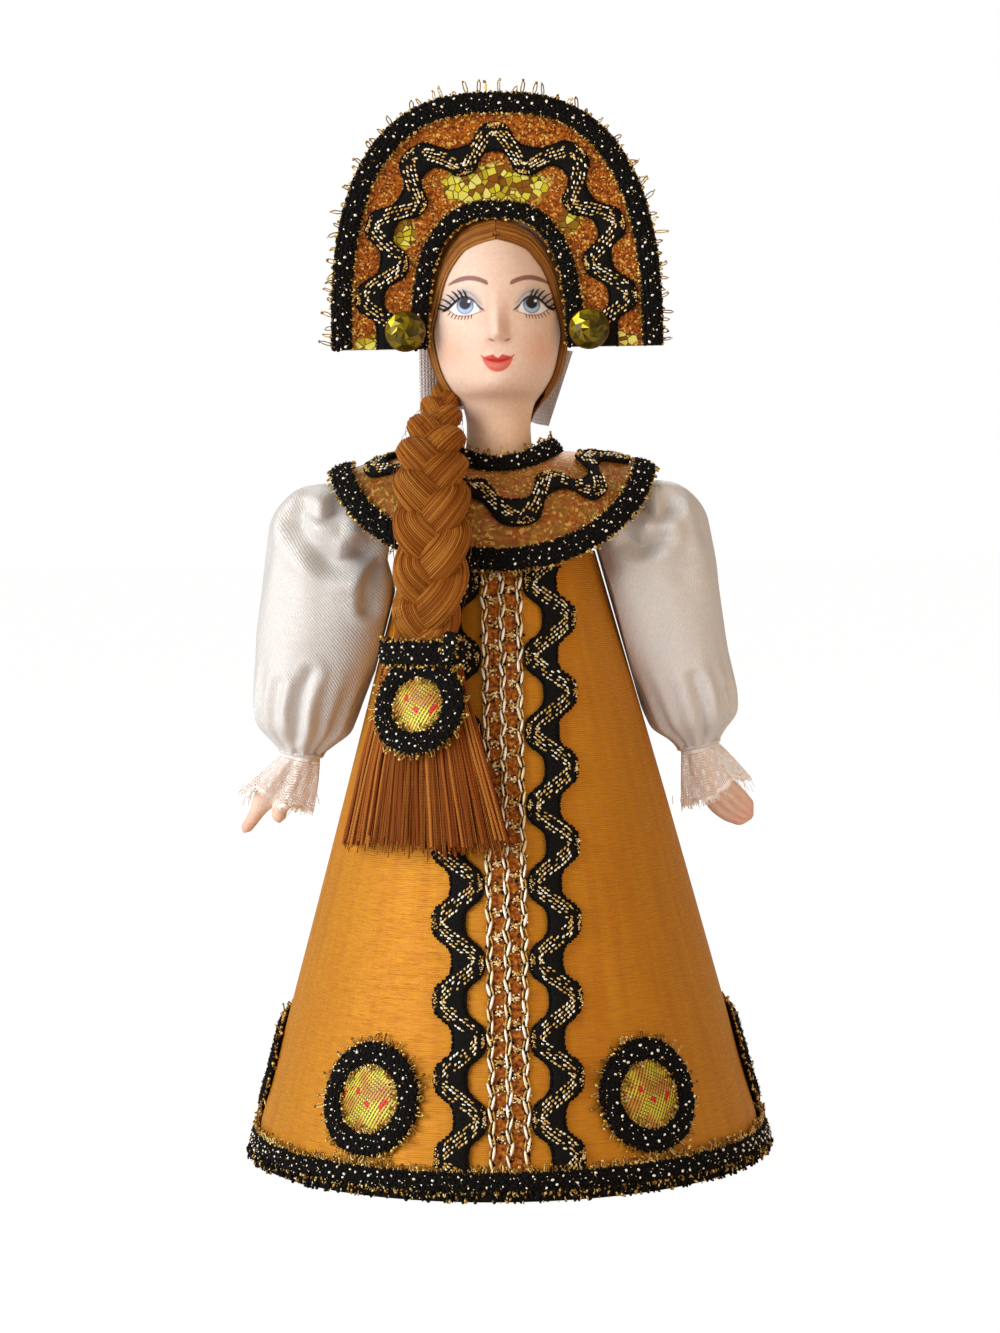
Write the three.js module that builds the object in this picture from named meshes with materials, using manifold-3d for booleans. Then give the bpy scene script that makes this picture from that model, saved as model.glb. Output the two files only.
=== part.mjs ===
// Costume doll in a kokoshnik, sleeves and a long cone dress, about 200 mm tall.
// Millimetres, +Z up, the front faces -Y, origin at the middle of the base on the table.
import * as THREE from "three";
import { mergeVertices } from "three/addons/utils/BufferGeometryUtils.js";
import Module from "manifold-3d";

const wasm = await Module();
wasm.setup();

// Driving dimensions

const gap = 0.3; // air between pieces that touch on the real doll
const tableGap = 0.4; // the satin stops just short of the table

const skirtBottomRadius = 49.0;
const skirtTopRadius = 18.0;
const skirtTop = 114.0;
const skirtSlope = (skirtBottomRadius - skirtTopRadius) / skirtTop; // radius lost for each mm of height
const satinThickness = 0.5;
const cardThickness = 0.9;
const baseThickness = 1.2;

const hemTrimStand = 1.2; // how far the hem's braid stands out from the satin
const hemTrimHeight = 4.4;

const trimThickness = 1.2;
const ricRacPeriod = 14.4;
const ricRacSwing = 2.5; // from the middle line to a crest
const ricRacWidth = 3.8;
const ricRacThickness = 0.8;
const ricRacX = 8.5; // each wave's middle line, left and right of the front
const laceChainSpacing = 3.1;
const laceChainWidth = 1.3;
const laceRungPitch = 9.2;
const laceRungHeight = 0.9;
const laceThickness = 0.8;
const frontTrimTop = 111.2; // the front trims end under the collar

const medallionRadius = 9.5;
const medallionRingWidth = 4.0;
const medallionRingThickness = 1.6;
const medallionHeight = 16.5; // centre above the table
const medallionFirstAngle = 34; // degrees round from the front
const medallionAngleStep = 62;
const patchCrown = 1.2;

const headWall = 1.4;
const hairThickness = 1.0;
const hairBottom = 146.5;
const hairlineTop = 172.4;

const kokoshnikBottom = 152.4;
const kokoshnikTop = 200.0;
const kokoshnikHalfWidth = 31.2;
const kokoshnikOpeningHalfWidth = 13.8;
const kokoshnikOpeningHeight = 25.0;
const openingTrimOverhang = 0.6; // past the board's edge, over the hair
const kokoshnikExponent = 2.66; // how square the arch's shoulders are
const kokoshnikY = -5.0; // middle plane of the board
const boardThickness = 1.2;
const brocadeThickness = 0.4;
const kokoshnikTrimWidth = 4.0;
const openingTrimWidth = 3.4;
const rhinestoneRadius = 3.65;
const rhinestoneHeight = 2.6;
const rhinestoneX = 17.2;
const rhinestoneZ = 155.6;

const collarNeckRadius = 8.6;
const collarNeckZ = 130.2; // at the front, and the rise towards the shoulders
const collarNeckRise = 2.4;
const collarHalfWidth = 31.2;
const collarHalfDepth = 20.6;
const collarExponent = 2.4;
const collarEdgeTopZ = 133.0; // centre of the ellipse that the edge follows, seen from the front
const collarEdgeHalfWidth = 31.7;
const collarEdgeDrop = 22.6;
const collarDrape = 70; // degrees the cloth turns over between neck and edge
const collarThickness = 0.6;
const collarTrimWidth = 4.0;
const neckTrimWidth = 3.0;
const collarWaves = 8;

const shoulderZ = 116.3;
const wireRadius = 0.6;
const wireBendRadius = 1.0;
const wireBendLength = 1.9;
const leftShoulderX = 28.6;
const leftArmTilt = 12.3; // degrees out from straight down
const rightShoulderX = 32.8;
const rightArmTilt = 8.2;
const sleeveThickness = 0.7;
const shoulderPuffRadius = 11.2;
const sleeveLength = 40.5; // shoulder to the gathered wrist
const sleevePleats = 6;
const sleevePleatDepth = 0.045; // share of the radius, each way
const armLiftRange = 45; // degrees
const cuffLength = 10.5;
const cuffThickness = 0.6;
const cuffFlare = 3.1;
const cuffLean = 2.6; // the frill follows the hand outwards
const cuffRipple = 0.5;
const cuffRipples = 5;
const wristRadius = 3.0;
const wristInSleeve = 3.6; // how far the porcelain wrist goes up into the sleeve
const wireInHand = 4.0;

const tieX = -14.6;
const tieTop = 98.0;
const tieHeight = 3.4;
const tieHalfWidth = 8.4; // along the cloth behind it
const tieHalfDepth = 4.5;
const tieWall = 1.8;
const tasselBottom = 62.0;
const tasselClearance = 1.8; // over the dress, so that it hangs clear of the wavy braid
const braidMedallionRadius = 8.9;
const braidMedallionX = -15.5;
const braidMedallionZ = 84.9;
const braidMedallionLift = 7.6;
const braidBallRadius = 4.9;

const tapeThickness = 0.5;

// Materials

function material(name, color, roughness, metalness = 0) {
  return new THREE.MeshStandardMaterial({ name, color, roughness, metalness, side: THREE.DoubleSide });
}

const materials = {
  card: material("card", 0xb9a27c, 0.9),
  satin: material("satin", 0xc07a1c, 0.35),
  blackBraid: material("black_braid", 0x14110f, 0.8),
  ricRac: material("ric_rac", 0x1b1713, 0.7),
  lace: material("gold_lace", 0xcbb68a, 0.5, 0.3),
  brocade: material("brocade", 0xa8741c, 0.35, 0.6),
  patch: material("patch", 0xc99a2a, 0.5, 0.2),
  porcelain: material("porcelain", 0xe8c6ac, 0.6),
  hair: material("hair", 0x96500f, 0.75),
  whiteSatin: material("white_satin", 0xe6e4e2, 0.45),
  wadding: material("wadding", 0xf2f0ea, 1.0),
  whiteLace: material("white_lace", 0xe8dfd4, 0.8),
  tape: material("white_tape", 0xdedbe0, 0.85),
  rhinestone: material("rhinestone", 0xb8a010, 0.15, 0.2),
  wire: material("wire", 0x8c8f94, 0.4, 0.9),
};

// Mesh helpers

const doll = new THREE.Group();

function addPiece(name, geometry, kind, parent = doll) {
  const mesh = new THREE.Mesh(geometry, kind);
  mesh.name = name;
  parent.add(mesh);
  return mesh;
}

function vec(x, y, z) {
  return new THREE.Vector3(x, y, z);
}

// Merges the doubled corners of a geometry, and turns it inside out where its faces point inwards.
function closed(geometry) {
  const bare = new THREE.BufferGeometry();
  bare.setAttribute("position", geometry.getAttribute("position").clone());
  if (geometry.index) bare.setIndex(geometry.index.clone());
  const merged = mergeVertices(bare, 1e-4);
  const { array } = merged.getAttribute("position");
  const corners = Array.from(merged.index.array);
  const whole = [];
  let volume = 0;
  for (let i = 0; i < corners.length; i += 3) {
    const [a, b, c] = corners.slice(i, i + 3);
    if (a === b || b === c || c === a) continue;
    whole.push(a, b, c);
    const [pa, pb, pc] = [a, b, c].map((k) => vec(array[3 * k], array[3 * k + 1], array[3 * k + 2]));
    volume += pa.dot(pb.cross(pc));
  }
  if (volume < 0) whole.reverse();
  merged.setIndex(whole);
  merged.computeVertexNormals();
  return merged;
}

// Joins closed loops of points into one skin, with a fan at each end, or end to end.
function loft(loops, endToEnd = false) {
  const size = loops[0].length;
  const positions = loops.flat();
  const triangles = [];
  const joints = endToEnd ? loops.length : loops.length - 1;
  for (let i = 0; i < joints; i++) {
    const here = i * size;
    const next = ((i + 1) % loops.length) * size;
    for (let j = 0; j < size; j++) {
      const k = (j + 1) % size;
      triangles.push(here + j, here + k, next + k, here + j, next + k, next + j);
    }
  }
  const cap = (first, order) => {
    const centre = vec(0, 0, 0);
    for (let j = 0; j < size; j++) centre.addScaledVector(positions[first + j], 1 / size);
    const hub = positions.push(centre) - 1;
    for (let j = 0; j < size; j++) {
      const k = (j + 1) % size;
      triangles.push(...(order ? [hub, first + k, first + j] : [hub, first + j, first + k]));
    }
  };
  if (!endToEnd) {
    cap(0, true);
    cap((loops.length - 1) * size, false);
  }
  const geometry = new THREE.BufferGeometry().setFromPoints(positions);
  geometry.setIndex(triangles);
  return closed(geometry);
}

// A strip that runs along stations, each a point and the way up there; section is [across, up] pairs.
function strip(stations, section, endToEnd = false) {
  const count = stations.length;
  const at = (i) => stations[endToEnd ? (i + count) % count : Math.min(Math.max(i, 0), count - 1)];
  const loops = stations.map(({ point, up }, i) => {
    const along = at(i + 1).point.clone().sub(at(i - 1).point).normalize();
    const across = along.clone().cross(up).normalize();
    return section.map(([s, h]) => point.clone().addScaledVector(across, s).addScaledVector(up, h));
  });
  return loft(loops, endToEnd);
}

// A flat section with its upper corners taken off.
function bandSection(width, bottom, thickness) {
  const half = width / 2;
  const shoulder = half - thickness * 0.45;
  const top = bottom + thickness;
  const eave = bottom + thickness * 0.5;
  return [[-half, bottom], [half, bottom], [half, eave], [shoulder, top], [-shoulder, top], [-half, eave]];
}

function flatSection(width, bottom, thickness) {
  const half = width / 2;
  return [[-half, bottom], [half, bottom], [half, bottom + thickness], [-half, bottom + thickness]];
}

// A solid of revolution about Z from [radius, z] pairs.
function turned(profile, segments) {
  const points = profile.map(([r, z]) => new THREE.Vector2(r, z));
  const lathe = new THREE.LatheGeometry(points, segments);
  lathe.rotateX(Math.PI / 2);
  return closed(lathe);
}

function solidOf(geometry) {
  const ready = closed(geometry);
  return new wasm.Manifold(new wasm.Mesh({
    numProp: 3,
    vertProperties: new Float32Array(ready.getAttribute("position").array),
    triVerts: new Uint32Array(ready.index.array),
  }));
}

function geometryOf(solid) {
  const mesh = solid.getMesh();
  const geometry = new THREE.BufferGeometry();
  geometry.setAttribute("position", new THREE.BufferAttribute(new Float32Array(mesh.vertProperties), 3));
  geometry.setIndex(Array.from(mesh.triVerts));
  return closed(geometry);
}

function cut(geometry, ...tools) {
  return geometryOf(tools.reduce((left, tool) => left.subtract(solidOf(tool)), solidOf(geometry)));
}

function joined(geometry, ...others) {
  return geometryOf(others.reduce((left, other) => left.add(solidOf(other)), solidOf(geometry)));
}

// A rod between two points.
function rod(from, to, radius, segments = 10) {
  const along = to.clone().sub(from);
  const geometry = new THREE.CylinderGeometry(radius, radius, along.length(), segments);
  const turn = new THREE.Quaternion().setFromUnitVectors(vec(0, 1, 0), along.clone().normalize());
  geometry.applyQuaternion(turn);
  const middle = from.clone().add(to).multiplyScalar(0.5);
  geometry.translate(middle.x, middle.y, middle.z);
  return closed(geometry);
}

// Smooth value at x through [x, value] pairs that rise in x.
function smoothTable(table) {
  const curves = table[0].slice(1).map((_, column) => table.map((row) => [row[0], row[column + 1]]));
  return (x) => curves.map((pairs) => {
    const last = pairs.length - 1;
    let i = 0;
    while (i < last - 1 && x > pairs[i + 1][0]) i++;
    const [x0, v0] = pairs[i];
    const [x1, v1] = pairs[i + 1];
    const slope = (k) => {
      const a = pairs[Math.max(k - 1, 0)];
      const b = pairs[Math.min(k + 1, last)];
      return (b[1] - a[1]) / (b[0] - a[0]);
    };
    const run = x1 - x0;
    const t = Math.min(Math.max((x - x0) / run, 0), 1);
    const m0 = slope(i) * run;
    const m1 = slope(i + 1) * run;
    return v0 + t * (m0 + t * (3 * (v1 - v0) - 2 * m0 - m1 + t * (m0 + m1 - 2 * (v1 - v0))));
  });
}

// The skirt's cone. Angle 0 is the front, and positive angles go towards +X.

const coneSegments = 44;
const skirtLean = Math.atan(skirtSlope);

function skirtRadius(z) {
  return skirtBottomRadius - skirtSlope * z;
}

function skirtStation(angle, z, lift = 0) {
  const level = Math.cos(skirtLean);
  const up = vec(level * Math.sin(angle), -level * Math.cos(angle), Math.sin(skirtLean));
  const radius = skirtRadius(z);
  const point = vec(radius * Math.sin(angle), -radius * Math.cos(angle), z);
  return { point: point.addScaledVector(up, lift), up };
}

function skirtStationAtX(x, z) {
  return skirtStation(Math.asin(x / skirtRadius(z)), z);
}

// A point straight out from the skirt at the same height, for what hangs in front of it.
function beforeSkirt(angle, z, distance) {
  const radius = skirtRadius(z) + distance;
  return vec(radius * Math.sin(angle), -radius * Math.cos(angle), z);
}

function coneShell(outerLift, thickness, bottom, top) {
  const outer = (z) => skirtRadius(z) + outerLift / Math.cos(skirtLean);
  const wall = thickness / Math.cos(skirtLean);
  return turned(
    [[outer(bottom) - wall, bottom], [outer(bottom), bottom], [outer(top), top], [outer(top) - wall, top],
      [outer(bottom) - wall, bottom]], coneSegments);
}

function addSkirt() {
  const cardLift = -satinThickness - gap;
  const cardInside = skirtRadius(0) + (cardLift - cardThickness) / Math.cos(skirtLean);
  const baseRadius = cardInside - skirtSlope * baseThickness - gap;
  const discProfile = [[0, 0], [baseRadius, 0], [baseRadius, baseThickness], [0, baseThickness]];
  addPiece("base_disc", turned(discProfile, coneSegments), materials.card);
  addPiece("card_cone", coneShell(cardLift, cardThickness, 0, skirtTop), materials.card);
  addPiece("skirt", coneShell(0, satinThickness, tableGap, skirtTop), materials.satin);

  const inner = (z) => skirtRadius(z) + gap / Math.cos(skirtLean);
  const shoulderDrop = 0.3;
  const outerRadius = skirtBottomRadius + hemTrimStand;
  const shoulder = outerRadius - shoulderDrop;
  addPiece("hem_trim", turned([
    [inner(0), 0], [outerRadius, 0], [outerRadius, hemTrimHeight * 0.35],
    [shoulder, hemTrimHeight * 0.7], [inner(hemTrimHeight) + trimThickness * 0.6, hemTrimHeight],
    [inner(hemTrimHeight), hemTrimHeight], [inner(0), 0],
  ], coneSegments), materials.blackBraid);
}

function addFrontTrims() {
  const bottom = hemTrimHeight + 2 * gap;
  const stepsPerWave = 8;
  const steps = Math.round(((frontTrimTop - bottom) / ricRacPeriod) * stepsPerWave);
  for (const [name, side] of [["ric_rac_right", -1], ["ric_rac_left", 1]]) {
    const stations = [];
    for (let i = 0; i <= steps; i++) {
      const z = bottom + ((frontTrimTop - bottom) * i) / steps;
      const swing = ricRacSwing * Math.cos((2 * Math.PI * (z - bottom)) / ricRacPeriod);
      stations.push(skirtStationAtX(side * (ricRacX + swing), z));
    }
    addPiece(name, strip(stations, flatSection(ricRacWidth, gap, ricRacThickness)), materials.ricRac);
  }

  const chain = (x) => {
    const chainSteps = 2;
    const stations = [];
    for (let i = 0; i <= chainSteps; i++) {
      stations.push(skirtStationAtX(x, bottom + ((frontTrimTop - bottom) * i) / chainSteps));
    }
    return strip(stations, flatSection(laceChainWidth, gap, laceThickness));
  };
  const rungs = [];
  const rungThickness = laceThickness * 0.7;
  for (let z = bottom + laceRungPitch / 2; z < frontTrimTop - laceRungHeight; z += laceRungPitch) {
    const stations = [-1, 1].map((k) => skirtStationAtX(k * laceChainSpacing, z));
    rungs.push(strip(stations, flatSection(laceRungHeight, 2 * gap, rungThickness)));
  }
  const chains = [-1, 0, 1].map((k) => chain(k * laceChainSpacing));
  addPiece("front_lace_trim", joined(...chains, ...rungs), materials.lace);
}

// Bends a flat piece, x along the hem and z outwards from the cloth, on to the cone round a centre.
function wrapOnSkirt(geometry, angle, centreZ, lift) {
  const bent = geometry.clone();
  const position = bent.getAttribute("position");
  const radius = skirtRadius(centreZ) + lift;
  for (let i = 0; i < position.count; i++) {
    const z = centreZ + position.getY(i) * Math.cos(skirtLean);
    const station = skirtStation(angle + position.getX(i) / radius, z, lift + position.getZ(i));
    position.setXYZ(i, station.point.x, station.point.y, station.point.z);
  }
  return closed(bent);
}

function addMedallion(ringName, patchName, radius, place) {
  const segments = 16;
  const inner = radius - medallionRingWidth;
  const section = bandSection(medallionRingWidth, 0, medallionRingThickness);
  const middle = radius - medallionRingWidth / 2;
  const ringProfile = section.map(([s, h]) => [middle + s, h]);
  const ring = turned([...ringProfile, ringProfile[0]], segments);
  const patchRadius = inner - gap;
  const patch = turned([
    [0, 0], [patchRadius, 0], [patchRadius, patchCrown * 0.4], [patchRadius * 0.6, patchCrown * 0.85],
    [0, patchCrown],
  ], segments);
  addPiece(ringName, place(ring), materials.blackBraid);
  addPiece(patchName, place(patch), materials.patch);
}

function addSkirtMedallions() {
  let number = 1;
  for (let i = 0; i < 3; i++) {
    for (const side of [-1, 1]) {
      const angle = THREE.MathUtils.degToRad(side * (medallionFirstAngle + i * medallionAngleStep));
      addMedallion(`medallion_ring_${number}`, `medallion_patch_${number}`, medallionRadius,
        (flat) => wrapOnSkirt(flat, angle, medallionHeight, gap));
      number++;
    }
  }
}

// Head, neck and shoulder plate: half-width, front depth and back depth at each height.
const bustShape = smoothTable([
  [114.3, 16.9, 16.9, 16.9],
  [117, 16.0, 16.0, 16.0],
  [121, 14.0, 14.0, 14.0],
  [125, 11.6, 11.6, 11.6],
  [128, 9.2, 9.0, 9.0],
  [130.5, 7.6, 7.4, 7.4],
  [133, 6.5, 6.4, 6.4],
  [136, 6.1, 6.1, 6.4],
  [140, 6.3, 6.5, 6.8],
  [142.5, 7.2, 8.4, 7.2],
  [144.2, 8.6, 10.7, 7.6],
  [146, 9.9, 11.9, 8.2],
  [149, 11.2, 12.6, 9.6],
  [152, 11.9, 12.8, 11.2],
  [155.5, 12.2, 12.7, 12.7],
  [159.5, 12.0, 12.5, 13.8],
  [163.5, 11.5, 12.3, 14.2],
  [167, 10.6, 11.6, 13.8],
  [170.5, 9.1, 10.1, 12.6],
  [173.3, 7.1, 8.1, 10.6],
  [175.2, 4.8, 5.7, 7.8],
  [176.2, 2.4, 2.8, 4.4],
]);
const bustBottom = skirtTop + gap;
const eyeX = 6.2;
const eyeZ = 159.6;
const noseTipZ = 154.8;
const mouthZ = 149.6;

function bump(value, centre, spread) {
  return Math.exp(-(((value - centre) / spread) ** 2));
}

// How far the nose, the eye hollows, the lips and the chin stand out of the plain head.
function faceRelief(x, z) {
  const noseRise = z > noseTipZ ? bump(z, noseTipZ, 3.6) : bump(z, noseTipZ, 1.3);
  const nose = 1.9 * noseRise * bump(x, 0, 1.4);
  const sockets = -0.5 * bump(Math.abs(x), eyeX - 1.5, 3.0) * bump(z, eyeZ + 0.6, 2.2);
  const lips = 0.5 * bump(x, 0, 2.6) * bump(z, mouthZ, 1.4);
  const chin = 0.6 * bump(x, 0, 3.4) * bump(z, 145.6, 1.5);
  return nose + sockets + lips + chin;
}

function bustPoint(turn, z) {
  const [halfWidth, front, back] = bustShape(z);
  const x = halfWidth * Math.sin(turn);
  const facing = Math.cos(turn);
  const depth = facing > 0 ? front : back;
  const relief = facing > 0 ? faceRelief(x, z) * facing : 0;
  return vec(x, -(depth + relief) * facing, z);
}

function bustNormal(turn, z) {
  const step = 0.02;
  const round = bustPoint(turn + step, z).sub(bustPoint(turn - step, z));
  const rise = bustPoint(turn, Math.min(z + step, 176.2)).sub(bustPoint(turn, z - step));
  return round.cross(rise).normalize();
}

// Loops up the bust, closer together on the face, pushed out by an offset.
function bustLoops(levels, segments, offset) {
  return levels.map((z) => {
    const loop = [];
    for (let i = 0; i < segments; i++) {
      const even = (2 * Math.PI * i) / segments;
      const turn = even - 0.5 * Math.sin(even);
      const point = bustPoint(turn, z);
      if (offset !== 0) point.addScaledVector(bustNormal(turn, z), offset);
      loop.push(point);
    }
    return loop;
  });
}

function range(from, to, count) {
  return Array.from({ length: count }, (_, i) => from + ((to - from) * i) / (count - 1));
}

const crownLevels = [172.2, 174.4, 175.7, 176.2];

function addBust() {
  const neckLevels = [121, 127, 131, 135, 139.5];
  const faceLevels = range(142.5, 161.4, 13);
  const levels = [bustBottom, ...neckLevels, ...faceLevels, 165, 169, ...crownLevels];
  const skin = loft(bustLoops(levels, 24, 0));
  const hollowTop = 172.2;
  const hollowLevels = [bustBottom - 1, ...neckLevels, 144, 149, 156, 164, hollowTop];
  const hollow = loft(bustLoops(hollowLevels, 12, -headWall - gap));
  const reach = skirtBottomRadius;
  const wireHole = rod(vec(-reach, 0, shoulderZ), vec(reach, 0, shoulderZ), wireRadius + gap);
  addPiece("bust", cut(skin, hollow, wireHole), materials.porcelain);
}

// The thread wig: a shell over the skull, open where the face shows.
function addWig() {
  const segments = 24;
  const levels = [...range(hairBottom, 169, 7), ...crownLevels];
  const outer = loft(bustLoops(levels, segments, gap + hairThickness));
  const inner = loft(bustLoops([hairBottom - 3, ...levels], segments, gap));
  const halfWidths = smoothTable([
    [140, 6.5], [143, 7.6], [146, 9.5], [149, 10.8], [152, 11.5], [155, 11.9], [159.5, 11.3], [163, 10.5],
    [165.3, 9.7], [168.5, 7.7], [171, 4.6], [hairlineTop, 0],
  ]);
  const heights = [140, 143, 146, 149, 152, 155, 159.5, 163, 165.3, 168.5, 171];
  const outline = [
    ...heights.map((z) => new THREE.Vector2(halfWidths(z)[0], z)),
    new THREE.Vector2(0, hairlineTop),
    ...[...heights].reverse().map((z) => new THREE.Vector2(-halfWidths(z)[0], z)),
  ];
  const faceDepth = 28;
  const faceShape = new THREE.Shape(outline);
  const faceWindow = new THREE.ExtrudeGeometry(faceShape, { depth: faceDepth, bevelEnabled: false });
  faceWindow.rotateX(Math.PI / 2);
  faceWindow.translate(0, -2, 0);
  addPiece("wig", cut(outer, inner, faceWindow), materials.hair);
}

// The white tape round the nape, which shows on both sides of the neck.
function addHeadTape() {
  const rows = [
    { x: -15.1, top: 153.6, bottom: 141 },
    { x: -12, top: 154, bottom: 141.2 },
    { x: -6, top: 154.3, bottom: 141.6 },
    { x: 0, top: 154.5, bottom: 141.8 },
    { x: 6, top: 154, bottom: 140.6 },
    { x: 10, top: 153.2, bottom: 138.8 },
    { x: 13.6, top: 152.2, bottom: 138.2 },
  ];
  const halfWidth = 16.2;
  const depth = 14.0;
  const slant = 0.22; // the right end is cut on a slant
  const loops = rows.map(({ x, top, bottom }) => {
    const corner = (edgeX, z, lift) => {
      const turn = Math.asin(edgeX / halfWidth);
      return vec((halfWidth + lift) * Math.sin(turn), (depth + lift) * Math.cos(turn), z);
    };
    const pull = x > 0 ? (x / 13.6) * slant * (top - bottom) : 0;
    return [corner(x, top, 0), corner(x, top, tapeThickness), corner(x - pull, bottom, tapeThickness),
      corner(x - pull, bottom, 0)];
  });
  addPiece("head_tape", loft(loops), materials.tape);
}

// A point on one of the kokoshnik's nested arches, turn 0 to PI from the right foot to the left.
function archPoint(halfWidth, height, turn) {
  const power = 2 / kokoshnikExponent;
  const c = Math.cos(turn);
  return new THREE.Vector2(
    halfWidth * Math.sign(c) * Math.abs(c) ** power,
    kokoshnikBottom + height * Math.max(Math.sin(turn), 0) ** power);
}

// Points a named distance inside an arch, evenly spaced along it.
function archRun(halfWidth, height, count) {
  const fine = 400;
  const points = range(0, Math.PI, fine + 1).map((turn) => archPoint(halfWidth, height, turn));
  const lengths = [0];
  for (let i = 1; i <= fine; i++) lengths.push(lengths[i - 1] + points[i].distanceTo(points[i - 1]));
  const total = lengths[fine];
  const run = [];
  let k = 1;
  for (let i = 0; i <= count; i++) {
    const want = (total * i) / count;
    while (k < fine && lengths[k] < want) k++;
    const share = (want - lengths[k - 1]) / (lengths[k] - lengths[k - 1]);
    run.push(points[k - 1].clone().lerp(points[k], share));
  }
  return { run, total };
}

function addKokoshnik() {
  const height = kokoshnikTop - kokoshnikBottom;
  const outer = archRun(kokoshnikHalfWidth, height, 44).run;
  const inner = archRun(kokoshnikOpeningHalfWidth, kokoshnikOpeningHeight, 28).run;
  const plate = (y, thickness) => {
    const shape = new THREE.Shape([...outer, ...[...inner].reverse()]);
    const geometry = new THREE.ExtrudeGeometry(shape, { depth: thickness, bevelEnabled: false });
    geometry.rotateX(Math.PI / 2);
    geometry.translate(0, y + thickness, 0);
    return closed(geometry);
  };
  const boardFront = kokoshnikY - boardThickness / 2;
  const brocadeFront = boardFront - gap - brocadeThickness;
  addPiece("kokoshnik_board", plate(boardFront, boardThickness), materials.card);
  addPiece("kokoshnik_brocade", plate(brocadeFront, brocadeThickness), materials.brocade);

  const forward = vec(0, -1, 0);
  const station = ({ x, y }) => ({ point: vec(x, brocadeFront, y), up: forward });
  const halfTrim = kokoshnikTrimWidth / 2;
  const outerTrim = archRun(kokoshnikHalfWidth - halfTrim, height - halfTrim, 30).run;
  addPiece("kokoshnik_outer_trim",
    strip(outerTrim.map(station), bandSection(kokoshnikTrimWidth, gap, trimThickness)), materials.blackBraid);
  const openingTrimOut = openingTrimWidth / 2 - openingTrimOverhang;
  const openingTrim = archRun(kokoshnikOpeningHalfWidth + openingTrimOut,
    kokoshnikOpeningHeight + openingTrimOut, 24).run;
  addPiece("kokoshnik_inner_trim",
    strip(openingTrim.map(station), bandSection(openingTrimWidth, gap, trimThickness)), materials.blackBraid);

  // The wave runs midway between the two trims, with a crest at the top of the arch.
  const trims = openingTrimWidth - kokoshnikTrimWidth;
  const middleHalfWidth = (kokoshnikHalfWidth + kokoshnikOpeningHalfWidth + trims) / 2;
  const middleHeight = (height + kokoshnikOpeningHeight + trims) / 2;
  const waves = 7;
  const steps = waves * 10;
  const { run, total } = archRun(middleHalfWidth, middleHeight, steps);
  const swing = ricRacSwing - gap;
  const wave = run.map((point, i) => {
    const before = run[Math.max(i - 1, 0)];
    const after = run[Math.min(i + 1, steps)];
    const along = after.clone().sub(before).normalize();
    const distance = (total * (i / steps - 0.5)) / (total / waves);
    const out = new THREE.Vector2(along.y, -along.x);
    return station(point.clone().addScaledVector(out, swing * Math.cos(2 * Math.PI * distance)));
  });
  const waveSection = flatSection(ricRacWidth - 2 * gap, gap, ricRacThickness);
  addPiece("kokoshnik_ric_rac", strip(wave.slice(4, -4), waveSection), materials.ricRac);

  const stoneBack = brocadeFront - gap - trimThickness - gap;
  for (const [name, side] of [["rhinestone_right", -1], ["rhinestone_left", 1]]) {
    const facets = 12;
    const stone = turned([[0, 0], [rhinestoneRadius, 0], [rhinestoneRadius, rhinestoneHeight * 0.3],
      [rhinestoneRadius * 0.62, rhinestoneHeight], [0, rhinestoneHeight]], facets);
    stone.rotateX(Math.PI / 2);
    stone.translate(side * rhinestoneX, stoneBack, rhinestoneZ);
    addPiece(name, stone, materials.rhinestone);
  }
}

// The collar's cloth: share 0 is the neck and 1 the edge, and angle 0 is the front.
function collarPoint(angle, share) {
  const power = 2 / collarExponent;
  const s = Math.sin(angle);
  const c = Math.cos(angle);
  const edgeX = collarHalfWidth * Math.sign(s) * Math.abs(s) ** power;
  const edgeY = -collarHalfDepth * Math.sign(c) * Math.abs(c) ** power;
  const edgeZ = collarEdgeTopZ - collarEdgeDrop * Math.sqrt(1 - (edgeX / collarEdgeHalfWidth) ** 2);
  const neckZ = collarNeckZ + collarNeckRise * s * s;
  const drape = THREE.MathUtils.degToRad(collarDrape);
  const out = Math.sin(share * drape) / Math.sin(drape);
  const drop = (1 - Math.cos(share * drape)) / (1 - Math.cos(drape));
  return vec(
    THREE.MathUtils.lerp(collarNeckRadius * s, edgeX, out),
    THREE.MathUtils.lerp(-collarNeckRadius * c, edgeY, out),
    THREE.MathUtils.lerp(neckZ, edgeZ, drop));
}

function collarStation(angle, share) {
  const step = 0.004;
  const round = collarPoint(angle + step, share).sub(collarPoint(angle - step, share));
  const down = collarPoint(angle, share + step).sub(collarPoint(angle, share - step));
  return { point: collarPoint(angle, share), up: down.cross(round).normalize() };
}

// Length of the cloth from neck to edge at an angle, by short steps.
function collarLength(angle) {
  const steps = 20;
  let length = 0;
  for (let i = 0; i < steps; i++) {
    length += collarPoint(angle, i / steps).distanceTo(collarPoint(angle, (i + 1) / steps));
  }
  return length;
}

function aroundCollar(count, shareAt) {
  return Array.from({ length: count }, (_, i) => {
    const angle = (2 * Math.PI * i) / count;
    return collarStation(angle, shareAt(angle));
  });
}

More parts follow.
